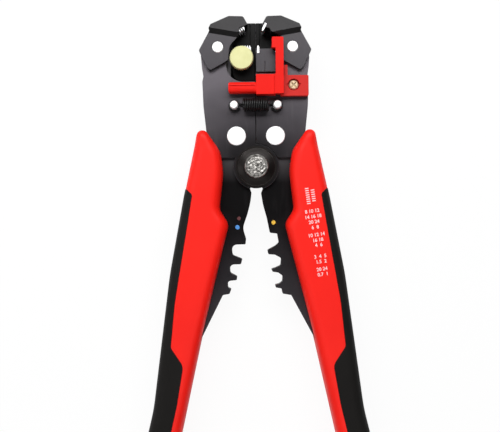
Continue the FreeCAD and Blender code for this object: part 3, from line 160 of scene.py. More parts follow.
class Finish:
    """A material under construction."""

    def __init__(self, name):
        self.material = bpy.data.materials.new(name)
        self.material.use_nodes = True
        self.tree = self.material.node_tree
        self.shader = self.tree.nodes["Principled BSDF"]
        self.place = self.node("ShaderNodeTexCoord").outputs["Object"]

    def node(self, kind, settings=None, **sockets):
        """Adds a node. Settings are set first, then its sockets by name."""
        made = self.tree.nodes.new(kind)
        for key, value in (settings or {}).items():
            setattr(made, key, value)
        for key, value in sockets.items():
            connect(self.tree, made.inputs[key.replace("_", " ")], value)
        return made

    def axis(self, letter, source=None):
        """One axis of a vector, which is the place on the piece where no other is named."""
        split = self.node("ShaderNodeSeparateXYZ", Vector=source or self.place)
        return Signal(self.tree, split.outputs[letter])

    def lean(self):
        """How far a face leans towards the nose, from -1 to 1."""
        return self.axis("Y", self.node("ShaderNodeTexCoord").outputs["Normal"])

    def noise(self, grain, detail=3.0, stretch=None):
        """Noise whose lumps are about grain millimetres across."""
        place = self.place
        if stretch:
            place = self.node("ShaderNodeMapping", Vector=self.place, Scale=stretch).outputs[0]
        made = self.node("ShaderNodeTexNoise", Vector=place, Scale=1 / (grain * MM), Detail=detail)
        return Signal(self.tree, made.outputs["Fac"])

    def mix(self, share, first, second):
        """Goes from the first colour to the second as share goes from 0 to 1."""
        made = self.tree.nodes.new("ShaderNodeMix")
        made.data_type = "RGBA"
        connect(self.tree, made.inputs["Factor"], share)
        connect(self.tree, made.inputs["A"], first)
        connect(self.tree, made.inputs["B"], second)
        return made.outputs["Result"]

    def ramp(self, share, first, last):
        """A scale between two stops, each a pair of place and brightness."""
        made = self.tree.nodes.new("ShaderNodeValToRGB")
        for element, (place, brightness) in zip(made.color_ramp.elements, (first, last)):
            element.position = place
            element.color = (brightness, brightness, brightness, 1)
        connect(self.tree, made.inputs["Fac"], share)
        return Signal(self.tree, made.outputs["Color"])

    def distance(self, x, y):
        """Distance from an upright axis at the given place, in metres."""
        flat = self.node("ShaderNodeMapping", Vector=self.place, Scale=(1, 1, 0))
        away = self.node("ShaderNodeVectorMath", {"operation": "DISTANCE"})
        connect(self.tree, away.inputs[0], flat.outputs[0])
        away.inputs[1].default_value = (x * MM, y * MM, 0)
        return Signal(self.tree, away.outputs["Value"])

    def soft_edges(self, radius):
        """A normal with its edges rounded, and a mask that is 1 along those edges."""
        bevel = self.tree.nodes.new("ShaderNodeBevel")
        bevel.samples = 4
        bevel.inputs["Radius"].default_value = radius * MM
        true = self.node("ShaderNodeNewGeometry").outputs["True Normal"]
        dot = self.tree.nodes.new("ShaderNodeVectorMath")
        dot.operation = "DOT_PRODUCT"
        self.tree.links.new(bevel.outputs[0], dot.inputs[0])
        self.tree.links.new(true, dot.inputs[1])
        flat = Signal(self.tree, dot.outputs["Value"])
        edge = ((1 - flat.size()) * 3.5).held()
        return bevel.outputs[0], edge

    def surface(self, bump=None, depth=0.0, normal=None, **sockets):
        """Sets the shader. The bump's depth is in millimetres."""
        for key, value in sockets.items():
            connect(self.tree, self.shader.inputs[key.replace("_", " ")], value)
        if bump is not None:
            made = self.node("ShaderNodeBump", Strength=1.0, Distance=depth * MM, Height=bump)
            if normal is not None:
                self.tree.links.new(normal, made.inputs["Normal"])
            normal = made.outputs[0]
        if normal is not None:
            self.tree.links.new(normal, self.shader.inputs["Normal"])
        return self.material


# %% [markdown]
# ## Blackened steel
# The plates, jaws and levers are blanked from sheet steel and then blackened. The finish is thin:
# it shows the fine grain of the tumbled sheet, varies a little in tone, and is rubbed to a lighter
# grey along the edges. Round the pivot the colour is painted darker, as painted shade, so the
# tone also follows the distance from the pivot. The plates and upper jaws are a satin grey black,
# and the levers and washers are a deeper black, so they get their finishes from one recipe.
# Three painted marks come on top. Towards the head the levers get a painted light.
# Faces leaning towards the nose are painted lighter and faces leaning towards the handles darker,
# as painted light and shade. The inner faces of the back plates, which show through the mouth,
# are painted black, as painted shade.


# %% Make the blackened steels
TOP_LIGHT_FROM = -7.0
TOP_LIGHT_OVER = 11.0
SLOPE_LIGHT_SHARE = 2.2
SLOPE_LIGHT_START = 0.3
MOUTH_SHADE_OVER = 0.5


def blackened_steel(name, pivot_shaded, unshaded, rubbed, rough, shade_fades_from, shade_gone_at, mouth_shade_above=None,
                    painted_top_light=None, slope_light_and_shade=None):
    """Painted shade within shade_fades_from millimetres of the pivot, gone beyond shade_gone_at.

    The levers get a painted light from TOP_LIGHT_FROM upwards, full after TOP_LIGHT_OVER more
    millimetres. The two colours of slope_light_and_shade are painted light for the faces that lean
    towards the nose and painted shade for those that lean towards the handles. Painted shade in the
    mouth starts at the height mouth_shade_above, and covers all that is MOUTH_SHADE_OVER higher.
    """
    finish = Finish(name)
    finish.shader.inputs["Specular IOR Level"].default_value = 0.2
    edges, edge = finish.soft_edges(0.3)
    cloud = finish.noise(14.0, detail=4.0)
    speck = finish.noise(0.25, detail=2.0)
    scuff = finish.ramp(finish.noise(2.5, 5.0, (1.0, 0.12, 1.0)), (0.56, 0.0), (0.75, 1.0))
    reach = finish.distance(0.0, 0.0)
    # Painted shade: the colour is painted darker near the pivot and fades out with the distance
    # from it.
    shade_fading = ((reach / MM - shade_fades_from) / (shade_gone_at - shade_fades_from) + (cloud - 0.5) * 0.3).held()
    body = finish.mix(shade_fading, pivot_shaded, unshaded)
    worn = ((edge * 0.8 + scuff * 0.12) * (0.5 + speck)).held()
    colour = finish.mix(worn, body, rubbed)
    # Painted light: the levers are painted lighter from a little below the pivot upwards.
    if painted_top_light is not None:
        height = finish.axis("Y") / MM
        top_light_band = ((height - TOP_LIGHT_FROM) / TOP_LIGHT_OVER).held()
        colour = finish.mix(top_light_band, colour, painted_top_light)
    # Painted light and shade: faces leaning towards the nose are painted lighter, those leaning
    # towards the handles darker.
    if slope_light_and_shade is not None:
        lean = finish.lean()
        colour = finish.mix((lean * SLOPE_LIGHT_SHARE - SLOPE_LIGHT_START).held(), colour, slope_light_and_shade[0])
        colour = finish.mix((lean * -SLOPE_LIGHT_SHARE - SLOPE_LIGHT_START).held(), colour, slope_light_and_shade[1])
    # Painted shade: above the given height the back plates' faces, seen through the mouth, are
    # painted near black.
    if mouth_shade_above is not None:
        mouth_shade = ((finish.axis("Z") / MM - mouth_shade_above) / MOUTH_SHADE_OVER).held()
        colour = finish.mix(mouth_shade, colour, finish.mix(cloud, tone(12, 12, 12), tone(30, 30, 30)))
    return finish.surface(
        bump=speck, depth=0.012, normal=edges,
        Base_Color=colour, Metallic=0.75, Roughness=rough + cloud * 0.12 - edge * 0.1,
    )


plate_steel = blackened_steel(
    "satin_blackened_steel", tone(22, 21, 22), tone(93, 89, 94), tone(112, 110, 112), 0.36, 6, 42
)
# The back plates carry painted shade where they show through the mouth.
back_plate_steel = blackened_steel(
    "mouth_shaded_back_plate_steel", tone(22, 21, 22), tone(87, 84, 88), tone(112, 110, 112), 0.36, 6, 42,
    mouth_shade_above=7.4,
)
# The jaws carry the painted light and shade of their sloping faces.
jaw_steel = blackened_steel(
    "blackened_jaw_steel", tone(40, 39, 41), tone(69, 67, 70), tone(100, 98, 101), 0.36, 6, 42,
    slope_light_and_shade=(tone(90, 89, 90), tone(26, 25, 25)),
)
# The levers' painted shade round the pivot reaches furthest, and they also carry a painted light.
lever_steel = blackened_steel(
    "pivot_shaded_lever_steel", tone(20, 19, 20), tone(66, 63, 67), tone(62, 60, 63), 0.34, 24, 72,
    painted_top_light=tone(76, 74, 76),
)
# The left lower jaw, behind the knob, is painted near black as painted shade.
jaw_block_steel = blackened_steel(
    "jaw_block_painted_shade", tone(10, 10, 10), tone(15, 15, 15), tone(44, 43, 44), 0.45, 20, 80
)
washer_steel = blackened_steel(
    "domed_black_washer", tone(32, 30, 29), tone(38, 35, 34), tone(84, 80, 78), 0.3, 4, 12
)

# %% [markdown]
# ## Bright steel
# The pins are turned and left bright, and the grip pads and blades are ground. A turned end has
# fine rings round its own centre, but the pins lie in many places, so a fine even grain does the
# same work without a centre. The bolt's head is zinc plated: paler, with dull cloudy patches.

# %% Make the bright steels
finish = Finish("turned_bright_steel")
edges = finish.soft_edges(0.25)[0]
grain = finish.noise(0.5, 3.0, (0.15, 1.0, 1.0))
pin_steel = finish.surface(
    bump=grain, depth=0.004, normal=edges, Metallic=0.55,
    Base_Color=finish.mix(grain, tone(248, 248, 250), tone(255, 255, 255)),
    Roughness=0.42 + grain * 0.08,
)

finish = Finish("ground_blade_steel")
edges = finish.soft_edges(0.15)[0]
lines = finish.noise(0.3, 2.0, (0.08, 1.0, 1.0))
blade_steel = finish.surface(
    bump=lines, depth=0.004, normal=edges, Metallic=0.7,
    Base_Color=finish.mix(lines, tone(225, 225, 228), tone(250, 250, 250)),
    Roughness=0.3 + lines * 0.15,
)

finish = Finish("zinc_plated_steel")
edges = finish.soft_edges(0.25)[0]
patch = finish.noise(1.3, 3.0)
fine = finish.noise(0.3, 3.0)
zinc = finish.surface(
    bump=patch + fine * 0.4, depth=0.06, normal=edges, Metallic=0.85,
    Base_Color=finish.mix(finish.ramp(patch, (0.35, 0.0), (0.65, 1.0)), tone(96, 94, 91),
                          tone(176, 173, 169)),
    Roughness=0.28 + fine * 0.2,
)

finish = Finish("blackened_spring_wire")
fine = finish.noise(0.4, 2.0)
spring_steel = finish.surface(
    bump=fine, depth=0.01, Metallic=0.5, Roughness=0.34 + fine * 0.15,
    Base_Color=finish.mix(fine, tone(18, 17, 18), tone(34, 33, 34)),
)

# %% [markdown]
# ## Brass
# The tension knob is pale plated brass, faced on a lathe, so its top has faint rings round the
# knob's own axis. The stop's screw is the same metal, a little warmer and more worn.


# %% Make the brasses
def faced_brass(name, centre, dull, bright, ring):
    finish = Finish(name)
    edges, edge = finish.soft_edges(0.2)
    reach = finish.distance(*centre)
    rings = reach.sum_with("SINE", reach * (math.tau / (ring * MM))) * 0.5 + 0.5
    cloud = finish.noise(2.2, 4.0)
    colour = finish.mix((cloud + edge * 0.3).held(), dull, bright)
    return finish.surface(
        bump=rings + cloud * 0.5, depth=0.006, normal=edges, Metallic=0.35,
        Base_Color=colour, Roughness=0.36 + cloud * 0.16,
    )


knob_brass = faced_brass("faced_pale_brass", (-6.1, 48.0), tone(190, 189, 133),
                         tone(206, 205, 155), 0.35)
screw_brass = faced_brass("worn_brass", (17.0, 36.2), tone(190, 164, 122), tone(238, 218, 184), 0.5)

# %% [markdown]
# ## Moulded plastic and rubber
# The handles are moulded twice: a hard red body, then a black soft grip round its outside. Both
# come from a spark-eroded mould, which leaves a fine even grain. The red is satin and the black is
# duller. A faint parting line runs round the sides at half height, where the mould's halves met.


# %% Make the plastics
def moulded(name, dark, light, rough, grain, depth, gloss, parting=True, sheen=0.0):
    finish = Finish(name)
    finish.shader.inputs["Specular IOR Level"].default_value = gloss
    edges = finish.soft_edges(0.2)[0]
    cloud = finish.noise(22.0, 3.0)
    erode = finish.noise(grain, 2.0)
    height = erode
    if parting:
        away = (finish.axis("Z") - MID_HEIGHT * MM).size()
        line = (1 - away / (0.16 * MM)).held()
        height = erode + line * 3.0
    finish.shader.inputs["Sheen Weight"].default_value = sheen
    finish.shader.inputs["Sheen Roughness"].default_value = 0.4
    return finish.surface(
        bump=height, depth=depth, normal=edges, Roughness=rough + erode * 0.12,
        Base_Color=finish.mix(cloud, dark, light),
    )


red_plastic = moulded("red_moulded_plastic", tone(238, 24, 15), tone(247, 33, 21), 0.42, 0.35,
                      0.012, 0.22)
# Painted shade: the slider and the stop's base get darker reds than the handles, the base darkest.
slider_painted_shade_plastic = moulded("red_slider_painted_shade", tone(216, 18, 12), tone(232, 30, 20), 0.36, 0.5, 0.006,
                       0.12, parting=False)
stop_base_painted_shade_plastic = moulded("red_stop_base_painted_shade", tone(186, 34, 30), tone(204, 44, 38), 0.45, 0.5,
                       0.01, 0.16, parting=False)
soft_rubber = moulded("black_soft_rubber", tone(20, 19, 18), tone(28, 26, 25), 0.55, 0.3, 0.02,
                      0.1, sheen=0.03)


def flat_paint(name, colour, rough=0.45):
    finish = Finish(name)
    wear = finish.noise(0.35, 3.0)
    shade = tuple(part * 0.8 for part in colour[:3]) + (1.0,)
    return finish.surface(
        bump=wear, depth=0.01, Roughness=rough + wear * 0.1,
        Base_Color=finish.mix(wear, shade, colour)
    )


white_ink = flat_paint("white_printing_ink", tone(255, 212, 214))
blue_paint = flat_paint("blue_dot_paint", tone(78, 150, 226))
yellow_paint = flat_paint("yellow_dot_paint", tone(232, 186, 58))
red_paint = flat_paint("faded_red_dot_paint", tone(96, 44, 46), 0.6)

# %% [markdown]
# ## Dress the CAD nodes
# Each CAD node keeps its shape and takes a finish in its object's own material slot.

# %% Give the CAD nodes their finishes
FINISHES = {
    plate_steel: ["left_front_plate", "right_front_plate"],
    back_plate_steel: ["left_back_plate", "right_back_plate"],
    jaw_steel: ["left_upper_jaw", "right_upper_jaw", "right_lower_jaw"],
    jaw_block_steel: ["left_lower_jaw"],
    lever_steel: ["left_lever", "right_lever"],
    washer_steel: ["front_washer", "back_washer"],
    pin_steel: [
        "left_jaw_pin", "right_jaw_pin", "left_tail_pin", "right_tail_pin", "left_body_pin",
        "right_body_pin", "left_spring_pin", "right_spring_pin",
    ],
    blade_steel: ["upper_grip_pad", "lower_grip_pad", "upper_blade", "lower_blade"],
    zinc: ["pivot_bolt", "pivot_nut", "left_return_spring", "right_return_spring"],
    knob_brass: ["tension_knob"],
    screw_brass: ["stop_screw"],
    slider_painted_shade_plastic: ["wire_stop_slider"],
    stop_base_painted_shade_plastic: ["wire_stop_base"],
}


def wear_finish(thing, material):
    if not thing.material_slots:
        thing.data.materials.append(material)
    for place in thing.material_slots:
        place.link = "OBJECT"
        place.material = material


dressed = 0
for material, names in FINISHES.items():
    for name in names:
        wear_finish(nodes[name], material)
        dressed += 1
print("CAD nodes with a finish", dressed)

# %% [markdown]
# ## Making pieces
# New pieces start as a list of points and faces. These helpers are used all through the file: one
# turns such a list into an object with a finish, and others turn a live modifier into a plain
# mesh, because a finished piece holds nothing that is still being worked out.


# %% Make objects and meshes
def make_piece(name, points, faces, material):
    mesh = bpy.data.meshes.new(name)
    mesh.from_pydata([Vector(point) * MM for point in points], [], faces)
    mesh.update()
    piece = bpy.data.objects.new(name, mesh)
    bpy.context.scene.collection.objects.link(piece)
    if material:
        mesh.materials.append(material)
    return piece


def plain_mesh(piece):
    """The mesh that a live curve, text or modifier shows."""
    graph = bpy.context.evaluated_depsgraph_get()
    return bpy.data.meshes.new_from_object(piece.evaluated_get(graph))


def face_outwards(piece):
    """Turns every face of a closed mesh to point out of it."""
    work = bmesh.new()
    work.from_mesh(piece.data)
    bmesh.ops.recalc_face_normals(work, faces=work.faces)
    work.to_mesh(piece.data)
    work.free()


CLOSE_POINTS = 0.002


def settle(piece, sharp_angle=35.0):
    """Turns modifiers into plain mesh, and shades the faces smoothly up to real edges."""
    mesh = plain_mesh(piece)
    piece.modifiers.clear()
    piece.data = mesh
    work = bmesh.new()
    work.from_mesh(mesh)
    bmesh.ops.remove_doubles(work, verts=work.verts, dist=CLOSE_POINTS * MM)
    bmesh.ops.dissolve_degenerate(work, edges=work.edges, dist=CLOSE_POINTS * MM)
    work.to_mesh(mesh)
    work.free()
    for face in mesh.polygons:
        face.use_smooth = True
    mesh.set_sharp_from_angle(angle=math.radians(sharp_angle))
    return piece


# %% [markdown]
# ## The handle's outline
# Seen from the front, a handle is a long leaf with a thumb-sized bump on its inside. Its outline
# is the CAD model's own: corners with a radius each. Rounding a corner means leaving a straight
# run early and joining the next one late, along an arc that touches both.


# %% Draw outlines with round corners
def rounded_outline(corners, steps=8):
    """Points round a closed outline. A corner's third value is its radius."""
    outline = []
    count = len(corners)
    for index, corner in enumerate(corners):
        here = Vector(corner[:2])
        if len(corner) < 3:
            outline.append(here)
            continue
        back = (Vector(corners[index - 1][:2]) - here).normalized()
        ahead = (Vector(corners[(index + 1) % count][:2]) - here).normalized()
        half = back.angle(ahead) / 2
        centre = here + (back + ahead).normalized() * (corner[2] / math.sin(half))
        first = here + back * (corner[2] / math.tan(half)) - centre
        turn = first.angle_signed(here + ahead * (corner[2] / math.tan(half)) - centre)
        for step in range(steps + 1):
            angle = -turn * step / steps
            cos, sin = math.cos(angle), math.sin(angle)
            swung = Vector((first.x * cos - first.y * sin, first.x * sin + first.y * cos))
            outline.append(centre + swung)
    return outline


HANDLE_CORNERS = [
    (38.4, -136.2, 6.0), (25.0, -75.0, 100.0), (15.4, -36.9, 60.0), (12.5, -25.6, 4.5),
    (16.7, -19.2, 5.0), (14.7, -2.0, 30.0), (16.0, 7.0, 10.0), (22.3, 16.0, 2.8),
    (25.9, 16.5, 2.6), (32.3, -13.0, 80.0), (38.9, -48.0, 150.0), (46.7, -108.0, 80.0),
    (52.9, -133.6, 7.0),
]
handle_outline = rounded_outline(HANDLE_CORNERS)
print("handle outline points", len(handle_outline))

# %% [markdown]
# ## The handle's body
# A real handle is round in the hand, which a CAD fillet this size would break at the tips. So it
# is made as a loft: at each height the outline gives the inner and outer edge, and a rounded
# rectangle is laid between them. Near both ends the section also gets thinner, so that the ends
# close like a bar of soap.


# %% Loft a handle
def span_at(outline, height):
    """Where a level line enters and leaves the outline."""
    crossings = []
    for first, last in zip(outline, outline[1:] + outline[:1]):
        if (first.y > height) != (last.y > height):
            share = (height - first.y) / (last.y - first.y)
            crossings.append(first.x + (last.x - first.x) * share)
    return min(crossings), max(crossings)


def rounded_section(inner, outer, half_thick, radius, side, height, steps=7, flats=5):
    """One ring of points round the handle at a given height."""
    middle, half_wide = (inner + outer) / 2, (outer - inner) / 2
    turn = min(radius, half_wide * 0.96, half_thick * 0.96)
    ring = []
    quarters = [(1, 1, 0.0), (-1, 1, 90.0), (-1, -1, 180.0), (1, -1, 270.0)]
    for across, up, start in quarters:
        for step in range(steps + 1):
            angle = math.radians(start + 90.0 * step / steps)
            ring.append((
                middle + across * (half_wide - turn) + turn * math.cos(angle),
                MID_HEIGHT + up * (half_thick - turn) + turn * math.sin(angle),
            ))
        here = Vector(ring[-1])
        next_across, next_up = quarters[(quarters.index((across, up, start)) + 1) % 4][:2]
        angle = math.radians(start + 90.0)
        there = Vector((
            middle + next_across * (half_wide - turn) + turn * math.cos(angle),
            MID_HEIGHT + next_up * (half_thick - turn) + turn * math.sin(angle),
        ))
        for step in range(1, flats):
            spot = here.lerp(there, step / flats)
            ring.append((spot.x, spot.y))
    return [(side * x, height, z) for x, z in ring]


END_ROUND = 4.0
END_RINGS = 10
BODY_RINGS = 90
JUST_INSIDE = 0.04


def loft_handle(name, side, grow, half_thick, radius):
    """Lays sections from the tip to the heel, closer together where the ends close."""
    top = max(point.y for point in handle_outline) - JUST_INSIDE
    bottom = min(point.y for point in handle_outline) + JUST_INSIDE
    drops = [END_ROUND * (1 - math.cos(math.radians(9 * step))) for step in range(END_RINGS)]
    heights = [top - drop for drop in drops]
    for step in range(BODY_RINGS + 1):
        heights.append(top - END_ROUND + (bottom - top + 2 * END_ROUND) * step / BODY_RINGS)
    heights += [bottom + drop for drop in reversed(drops)]
    points, faces = [], []
    for height in heights:
        inner, outer = span_at(handle_outline, height)
        near_end = min(top - height, height - bottom, END_ROUND)
        sink = END_ROUND - math.sqrt(END_ROUND ** 2 - (END_ROUND - near_end) ** 2)
        ring = rounded_section(
            inner - grow, outer + grow, half_thick - sink * 0.7, radius, side, height
        )
        points += ring
    around = len(ring)
    for row in range(len(heights) - 1):
        for spot in range(around):
            following = (spot + 1) % around
            face = (row * around + spot, row * around + following,
                    (row + 1) * around + following, (row + 1) * around + spot)
            faces.append(face)
    faces.append(tuple(reversed(range(around))))
    faces.append(tuple(range((len(heights) - 1) * around, len(heights) * around)))
    piece = make_piece(name, points, faces, None)
    face_outwards(piece)
    return piece


# %% [markdown]
# ## Red body and soft grip
# The grip fills the outside of the handle, with a hook-shaped border near its top and a wider
# palm part below. Both pieces are cut from lofts with the same border, so they meet exactly. The
# grip's loft is a fifth of a millimetre fatter, and that step is the thin shadow line between
# red and black. The red body is also hollow where the steel tang and the head plates lie.


# %% Cut the handles
def prism(name, side, low, high, corners):
    """An upright block whose outline goes through the corners."""
    outline = rounded_outline(corners)
    count = len(outline)
    points = [(side * spot.x, spot.y, low) for spot in outline]
    points += [(side * spot.x, spot.y, high) for spot in outline]
    faces = [tuple(range(count)), tuple(range(count, 2 * count))]
    for index in range(count):
        following = (index + 1) % count
        faces.append((index, following, count + following, count + index))
    piece = make_piece(name, points, faces, None)
    face_outwards(piece)
    return piece


def cut(piece, tool, operation):
    change = piece.modifiers.new("cut", "BOOLEAN")
    change.operation = operation
    change.object = tool
    change.solver = "EXACT"
    settle(piece)


GRIP_ZONE = [
    (75.0, -9.3), (31.0, -10.0, 0.8), (28.4, -12.4, 1.6), (31.2, -29.0, 60.0), (36.5, -60.0, 80.0),
    (38.5, -79.7, 3.0), (33.1, -87.9, 5.0), (36.0, -105.0, 60.0), (44.8, -143.0), (75.0, -143.0),
]
TANG_ROOM = [
    (22.5, 25.0), (22.5, 6.0), (24.0, -3.0), (27.0, -20.0), (30.3, -45.0), (31.6, -70.0),
    (33.7, -99.9), (31.8, -99.9), (26.9, -80.5), (26.2, -78.6), (5.0, -60.0), (5.0, 25.0),
]
PLATE_ROOM = [
    (24.0, 25.0), (24.0, 13.9), (21.4, 3.2, 3.0), (18.3, 1.6, 3.0), (5.0, 1.6), (5.0, 25.0),
]
BELOW_ALL, ABOVE_ALL = -2.0, 24.0
TANG_HALF = 2.53
PLATES_HALF = 4.9
BODY_HALF, BODY_EDGE = 10.8, 4.6
GRIP_HALF, GRIP_EDGE = 11.0, 5.0
GRIP_PROUD = 0.2
for side, name in ((-1, "left"), (1, "right")):
    zone = prism(f"{name}_zone", side, BELOW_ALL, ABOVE_ALL, GRIP_ZONE)
    tang = prism(
        f"{name}_tang_room", side, MID_HEIGHT - TANG_HALF, MID_HEIGHT + TANG_HALF, TANG_ROOM
    )
    room = prism(
        f"{name}_plate_room", side, MID_HEIGHT - PLATES_HALF, MID_HEIGHT + PLATES_HALF, PLATE_ROOM
    )
    body = loft_handle(f"{name}_handle_body", side, 0.0, BODY_HALF, BODY_EDGE)
    for tool in (zone, tang, room):
        cut(body, tool, "DIFFERENCE")
    grip = loft_handle(f"{name}_grip_cover", side, GRIP_PROUD, GRIP_HALF, GRIP_EDGE)
    cut(grip, zone, "INTERSECT")
    for piece, material, node, slot in (
        (body, red_plastic, f"{name}_handle_shell", "red_plastic"),
        (grip, soft_rubber, f"{name}_soft_grip", "black_rubber"),
    ):
        piece.data.materials.clear()
        piece.data.materials.append(material)
        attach(piece, f"{name}_lever")
        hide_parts(node)
    for tool in (zone, tang, room):
        bpy.data.objects.remove(tool)
    print(name, "handle faces", len(body.data.polygons), "grip faces", len(grip.data.polygons))

# %% [markdown]
# ## Tension springs
# A close-wound spring on each face pulls the two halves of the head together, with a hook round
# each spring pin. The coil is a repeating shape, so Geometry Nodes wind it: a spiral curve, a
# round wire swept along it, and a turn that lays it across the tool.


# %% Wind the coil with Geometry Nodes
def add_input(tree, label, kind, value):
    socket = tree.interface.new_socket(label, in_out="INPUT", socket_type=kind)
    socket.default_value = value
    return socket


def coil_tree():
    tree = bpy.data.node_groups.new("wound_coil", "GeometryNodeTree")
    tree.interface.new_socket("Geometry", in_out="OUTPUT", socket_type="NodeSocketGeometry")
    add_input(tree, "Turns", "NodeSocketFloat", 11.0)
    add_input(tree, "Coil Radius", "NodeSocketFloat", 0.0026)
    add_input(tree, "Coil Length", "NodeSocketFloat", 0.011)
    add_input(tree, "Wire Radius", "NodeSocketFloat", 0.0005)
    add_input(tree, "Wire Finish", "NodeSocketMaterial", None)
    inlet = tree.nodes.new("NodeGroupInput")
    outlet = tree.nodes.new("NodeGroupOutput")
    spiral = tree.nodes.new("GeometryNodeCurveSpiral")
    spiral.inputs["Resolution"].default_value = 28
    wire = tree.nodes.new("GeometryNodeCurvePrimitiveCircle")
    wire.inputs["Resolution"].default_value = 12
    sweep = tree.nodes.new("GeometryNodeCurveToMesh")
    sweep.inputs["Fill Caps"].default_value = True
    lay = tree.nodes.new("GeometryNodeTransform")
    lay.inputs["Rotation"].default_value = (0, math.pi / 2, 0)
    real = tree.nodes.new("GeometryNodeRealizeInstances")
    paint = tree.nodes.new("GeometryNodeSetMaterial")
    for source, target in (
        (inlet.outputs["Turns"], spiral.inputs["Rotations"]),
        (inlet.outputs["Coil Radius"], spiral.inputs["Start Radius"]),
        (inlet.outputs["Coil Radius"], spiral.inputs["End Radius"]),
        (inlet.outputs["Coil Length"], spiral.inputs["Height"]),
        (inlet.outputs["Wire Radius"], wire.inputs["Radius"]),
        (spiral.outputs[0], sweep.inputs["Curve"]),
        (wire.outputs[0], sweep.inputs["Profile Curve"]),
        (sweep.outputs[0], lay.inputs["Geometry"]),
        (lay.outputs[0], real.inputs["Geometry"]),
        (real.outputs[0], paint.inputs["Geometry"]),
        (inlet.outputs["Wire Finish"], paint.inputs["Material"]),
        (paint.outputs[0], outlet.inputs["Geometry"]),
    ):
        tree.links.new(source, target)
    return tree


def set_input(modifier, label, value):
    for item in modifier.node_group.interface.items_tree:
        if item.item_type == "SOCKET" and item.in_out == "INPUT" and item.name == label:
            modifier[item.identifier] = value
            return
    raise KeyError(label)


wound_coil = coil_tree()

# %% [markdown]
# ## Hooks, and a spring in two halves
# The wire leaves the last turn next to the plate, bends towards the pin and runs once round it. A
# smooth curve through a few points does that. When the head opens, the pins move apart and the
# real spring stretches. Each spring is parted at its middle: one half reaches from the middle to
# the left pin, and the other half to the right pin.

# %% Make the springs
COIL_LENGTH = 11.0
COIL_RADIUS = 2.6
WIRE_RADIUS = 0.5
SPRING_Y = 27.2
COIL_OFF_MIDDLE = 7.85
HOOK_OFF_MIDDLE = 5.65
HOOK_CENTRE = 9.4
HOOK_RING = 2.3


def hook_points(side, way):
    """From the coil's last turn round the pin, as control points of a smooth curve."""
    low = MID_HEIGHT + way * (COIL_OFF_MIDDLE - COIL_RADIUS)
    level = MID_HEIGHT + way * HOOK_OFF_MIDDLE
    points = [
        (side * 5.35, SPRING_Y - 0.9, low + way * 0.15), (side * 5.5, SPRING_Y, low),
        (side * 5.9, SPRING_Y + 0.75, low + way * 0.05),
        (side * 6.7, SPRING_Y + 0.6, level - way * 0.1),
    ]
    for step in range(11):
        angle = math.radians(160 - 32 * step)
        points.append((
            side * (HOOK_CENTRE + HOOK_RING * math.cos(angle)),
            SPRING_Y + HOOK_RING * math.sin(angle),
            level,
        ))
    return points


def swept_wire(name, points, radius):
    curve = bpy.data.curves.new(name, "CURVE")
    curve.dimensions = "3D"
    curve.bevel_depth = radius * MM
    curve.bevel_resolution = 4
    curve.use_fill_caps = True
    curve.resolution_u = 6
    line = curve.splines.new("NURBS")
    line.points.add(len(points) - 1)
    for spot, point in zip(line.points, points):
        spot.co = (*[part * MM for part in point], 1.0)
    line.order_u = 3
    line.use_endpoint_u = True
    piece = bpy.data.objects.new(name, curve)
    bpy.context.scene.collection.objects.link(piece)
    mesh = plain_mesh(piece)
    bpy.data.objects.remove(piece)
    return mesh


def make_spring_half(face, way, side):
    """Winds a whole coil, keeps its half on one side, and adds the hook of that side."""
    name = f"{face}_spring_{'left' if side < 0 else 'right'}_half"
    piece = make_piece(name, [], [], spring_steel)
    winding = piece.modifiers.new("winding", "NODES")
    winding.node_group = wound_coil
    set_input(winding, "Turns", COIL_LENGTH / (2 * WIRE_RADIUS))
    set_input(winding, "Coil Radius", COIL_RADIUS * MM)
    set_input(winding, "Coil Length", COIL_LENGTH * MM)
    set_input(winding, "Wire Radius", WIRE_RADIUS * 0.97 * MM)
    set_input(winding, "Wire Finish", spring_steel)
    mesh = plain_mesh(piece)
    piece.modifiers.clear()
    piece.data = mesh
    work = bmesh.new()
    work.from_mesh(mesh)
    # The spiral starts on the +Z side once it is laid down, and the hooks leave next to the plate.
    for spot in work.verts:
        spot.co.x -= COIL_LENGTH / 2 * MM
        if way > 0:
            spot.co.y, spot.co.z = -spot.co.y, -spot.co.z
        spot.co.y += SPRING_Y * MM
        spot.co.z += (MID_HEIGHT + way * COIL_OFF_MIDDLE) * MM
    everything = work.verts[:] + work.edges[:] + work.faces[:]
    sliced = bmesh.ops.bisect_plane(
        work, geom=everything, plane_co=(0, 0, 0), plane_no=(-side, 0, 0), clear_outer=True
    )
    rims = [item for item in sliced["geom_cut"] if isinstance(item, bmesh.types.BMEdge)]
    bmesh.ops.holes_fill(work, edges=rims)
    work.from_mesh(swept_wire("hook", hook_points(side, way), WIRE_RADIUS))
    work.to_mesh(mesh)
    work.free()
    settle(piece, 50.0)
    piece.data.materials.clear()
    piece.data.materials.append(spring_steel)
    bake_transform(piece)
    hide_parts(f"{face}_tension_spring")
    return piece


for face, way in (("front", 1), ("back", -1)):
    for side in (-1, 1):
        made = make_spring_half(face, way, side)
        print(made.name, "faces", len(made.data.polygons))

# %% [markdown]
# ## The bolt's rough face
# The round head of the pivot bolt is pressed, not turned: inside a clean rim its face is lumpy.
# Lumps that size change the outline of highlights, so they are real geometry. A disc of rings is
# lifted by a little noise, which fades out at the rim.


# %% Make the pressed face
def disc_faces(rings, spokes):
    """Faces of a disc whose first point is its centre and whose rings of points follow."""
    faces = [(0, 1 + spoke, 1 + (spoke + 1) % spokes) for spoke in range(spokes)]
    for ring in range(rings - 1):
        start = 1 + ring * spokes
        for spoke in range(spokes):
            following = (spoke + 1) % spokes
            faces.append((start + spoke, start + spokes + spoke, start + spokes + following,
                          start + following))
    return faces


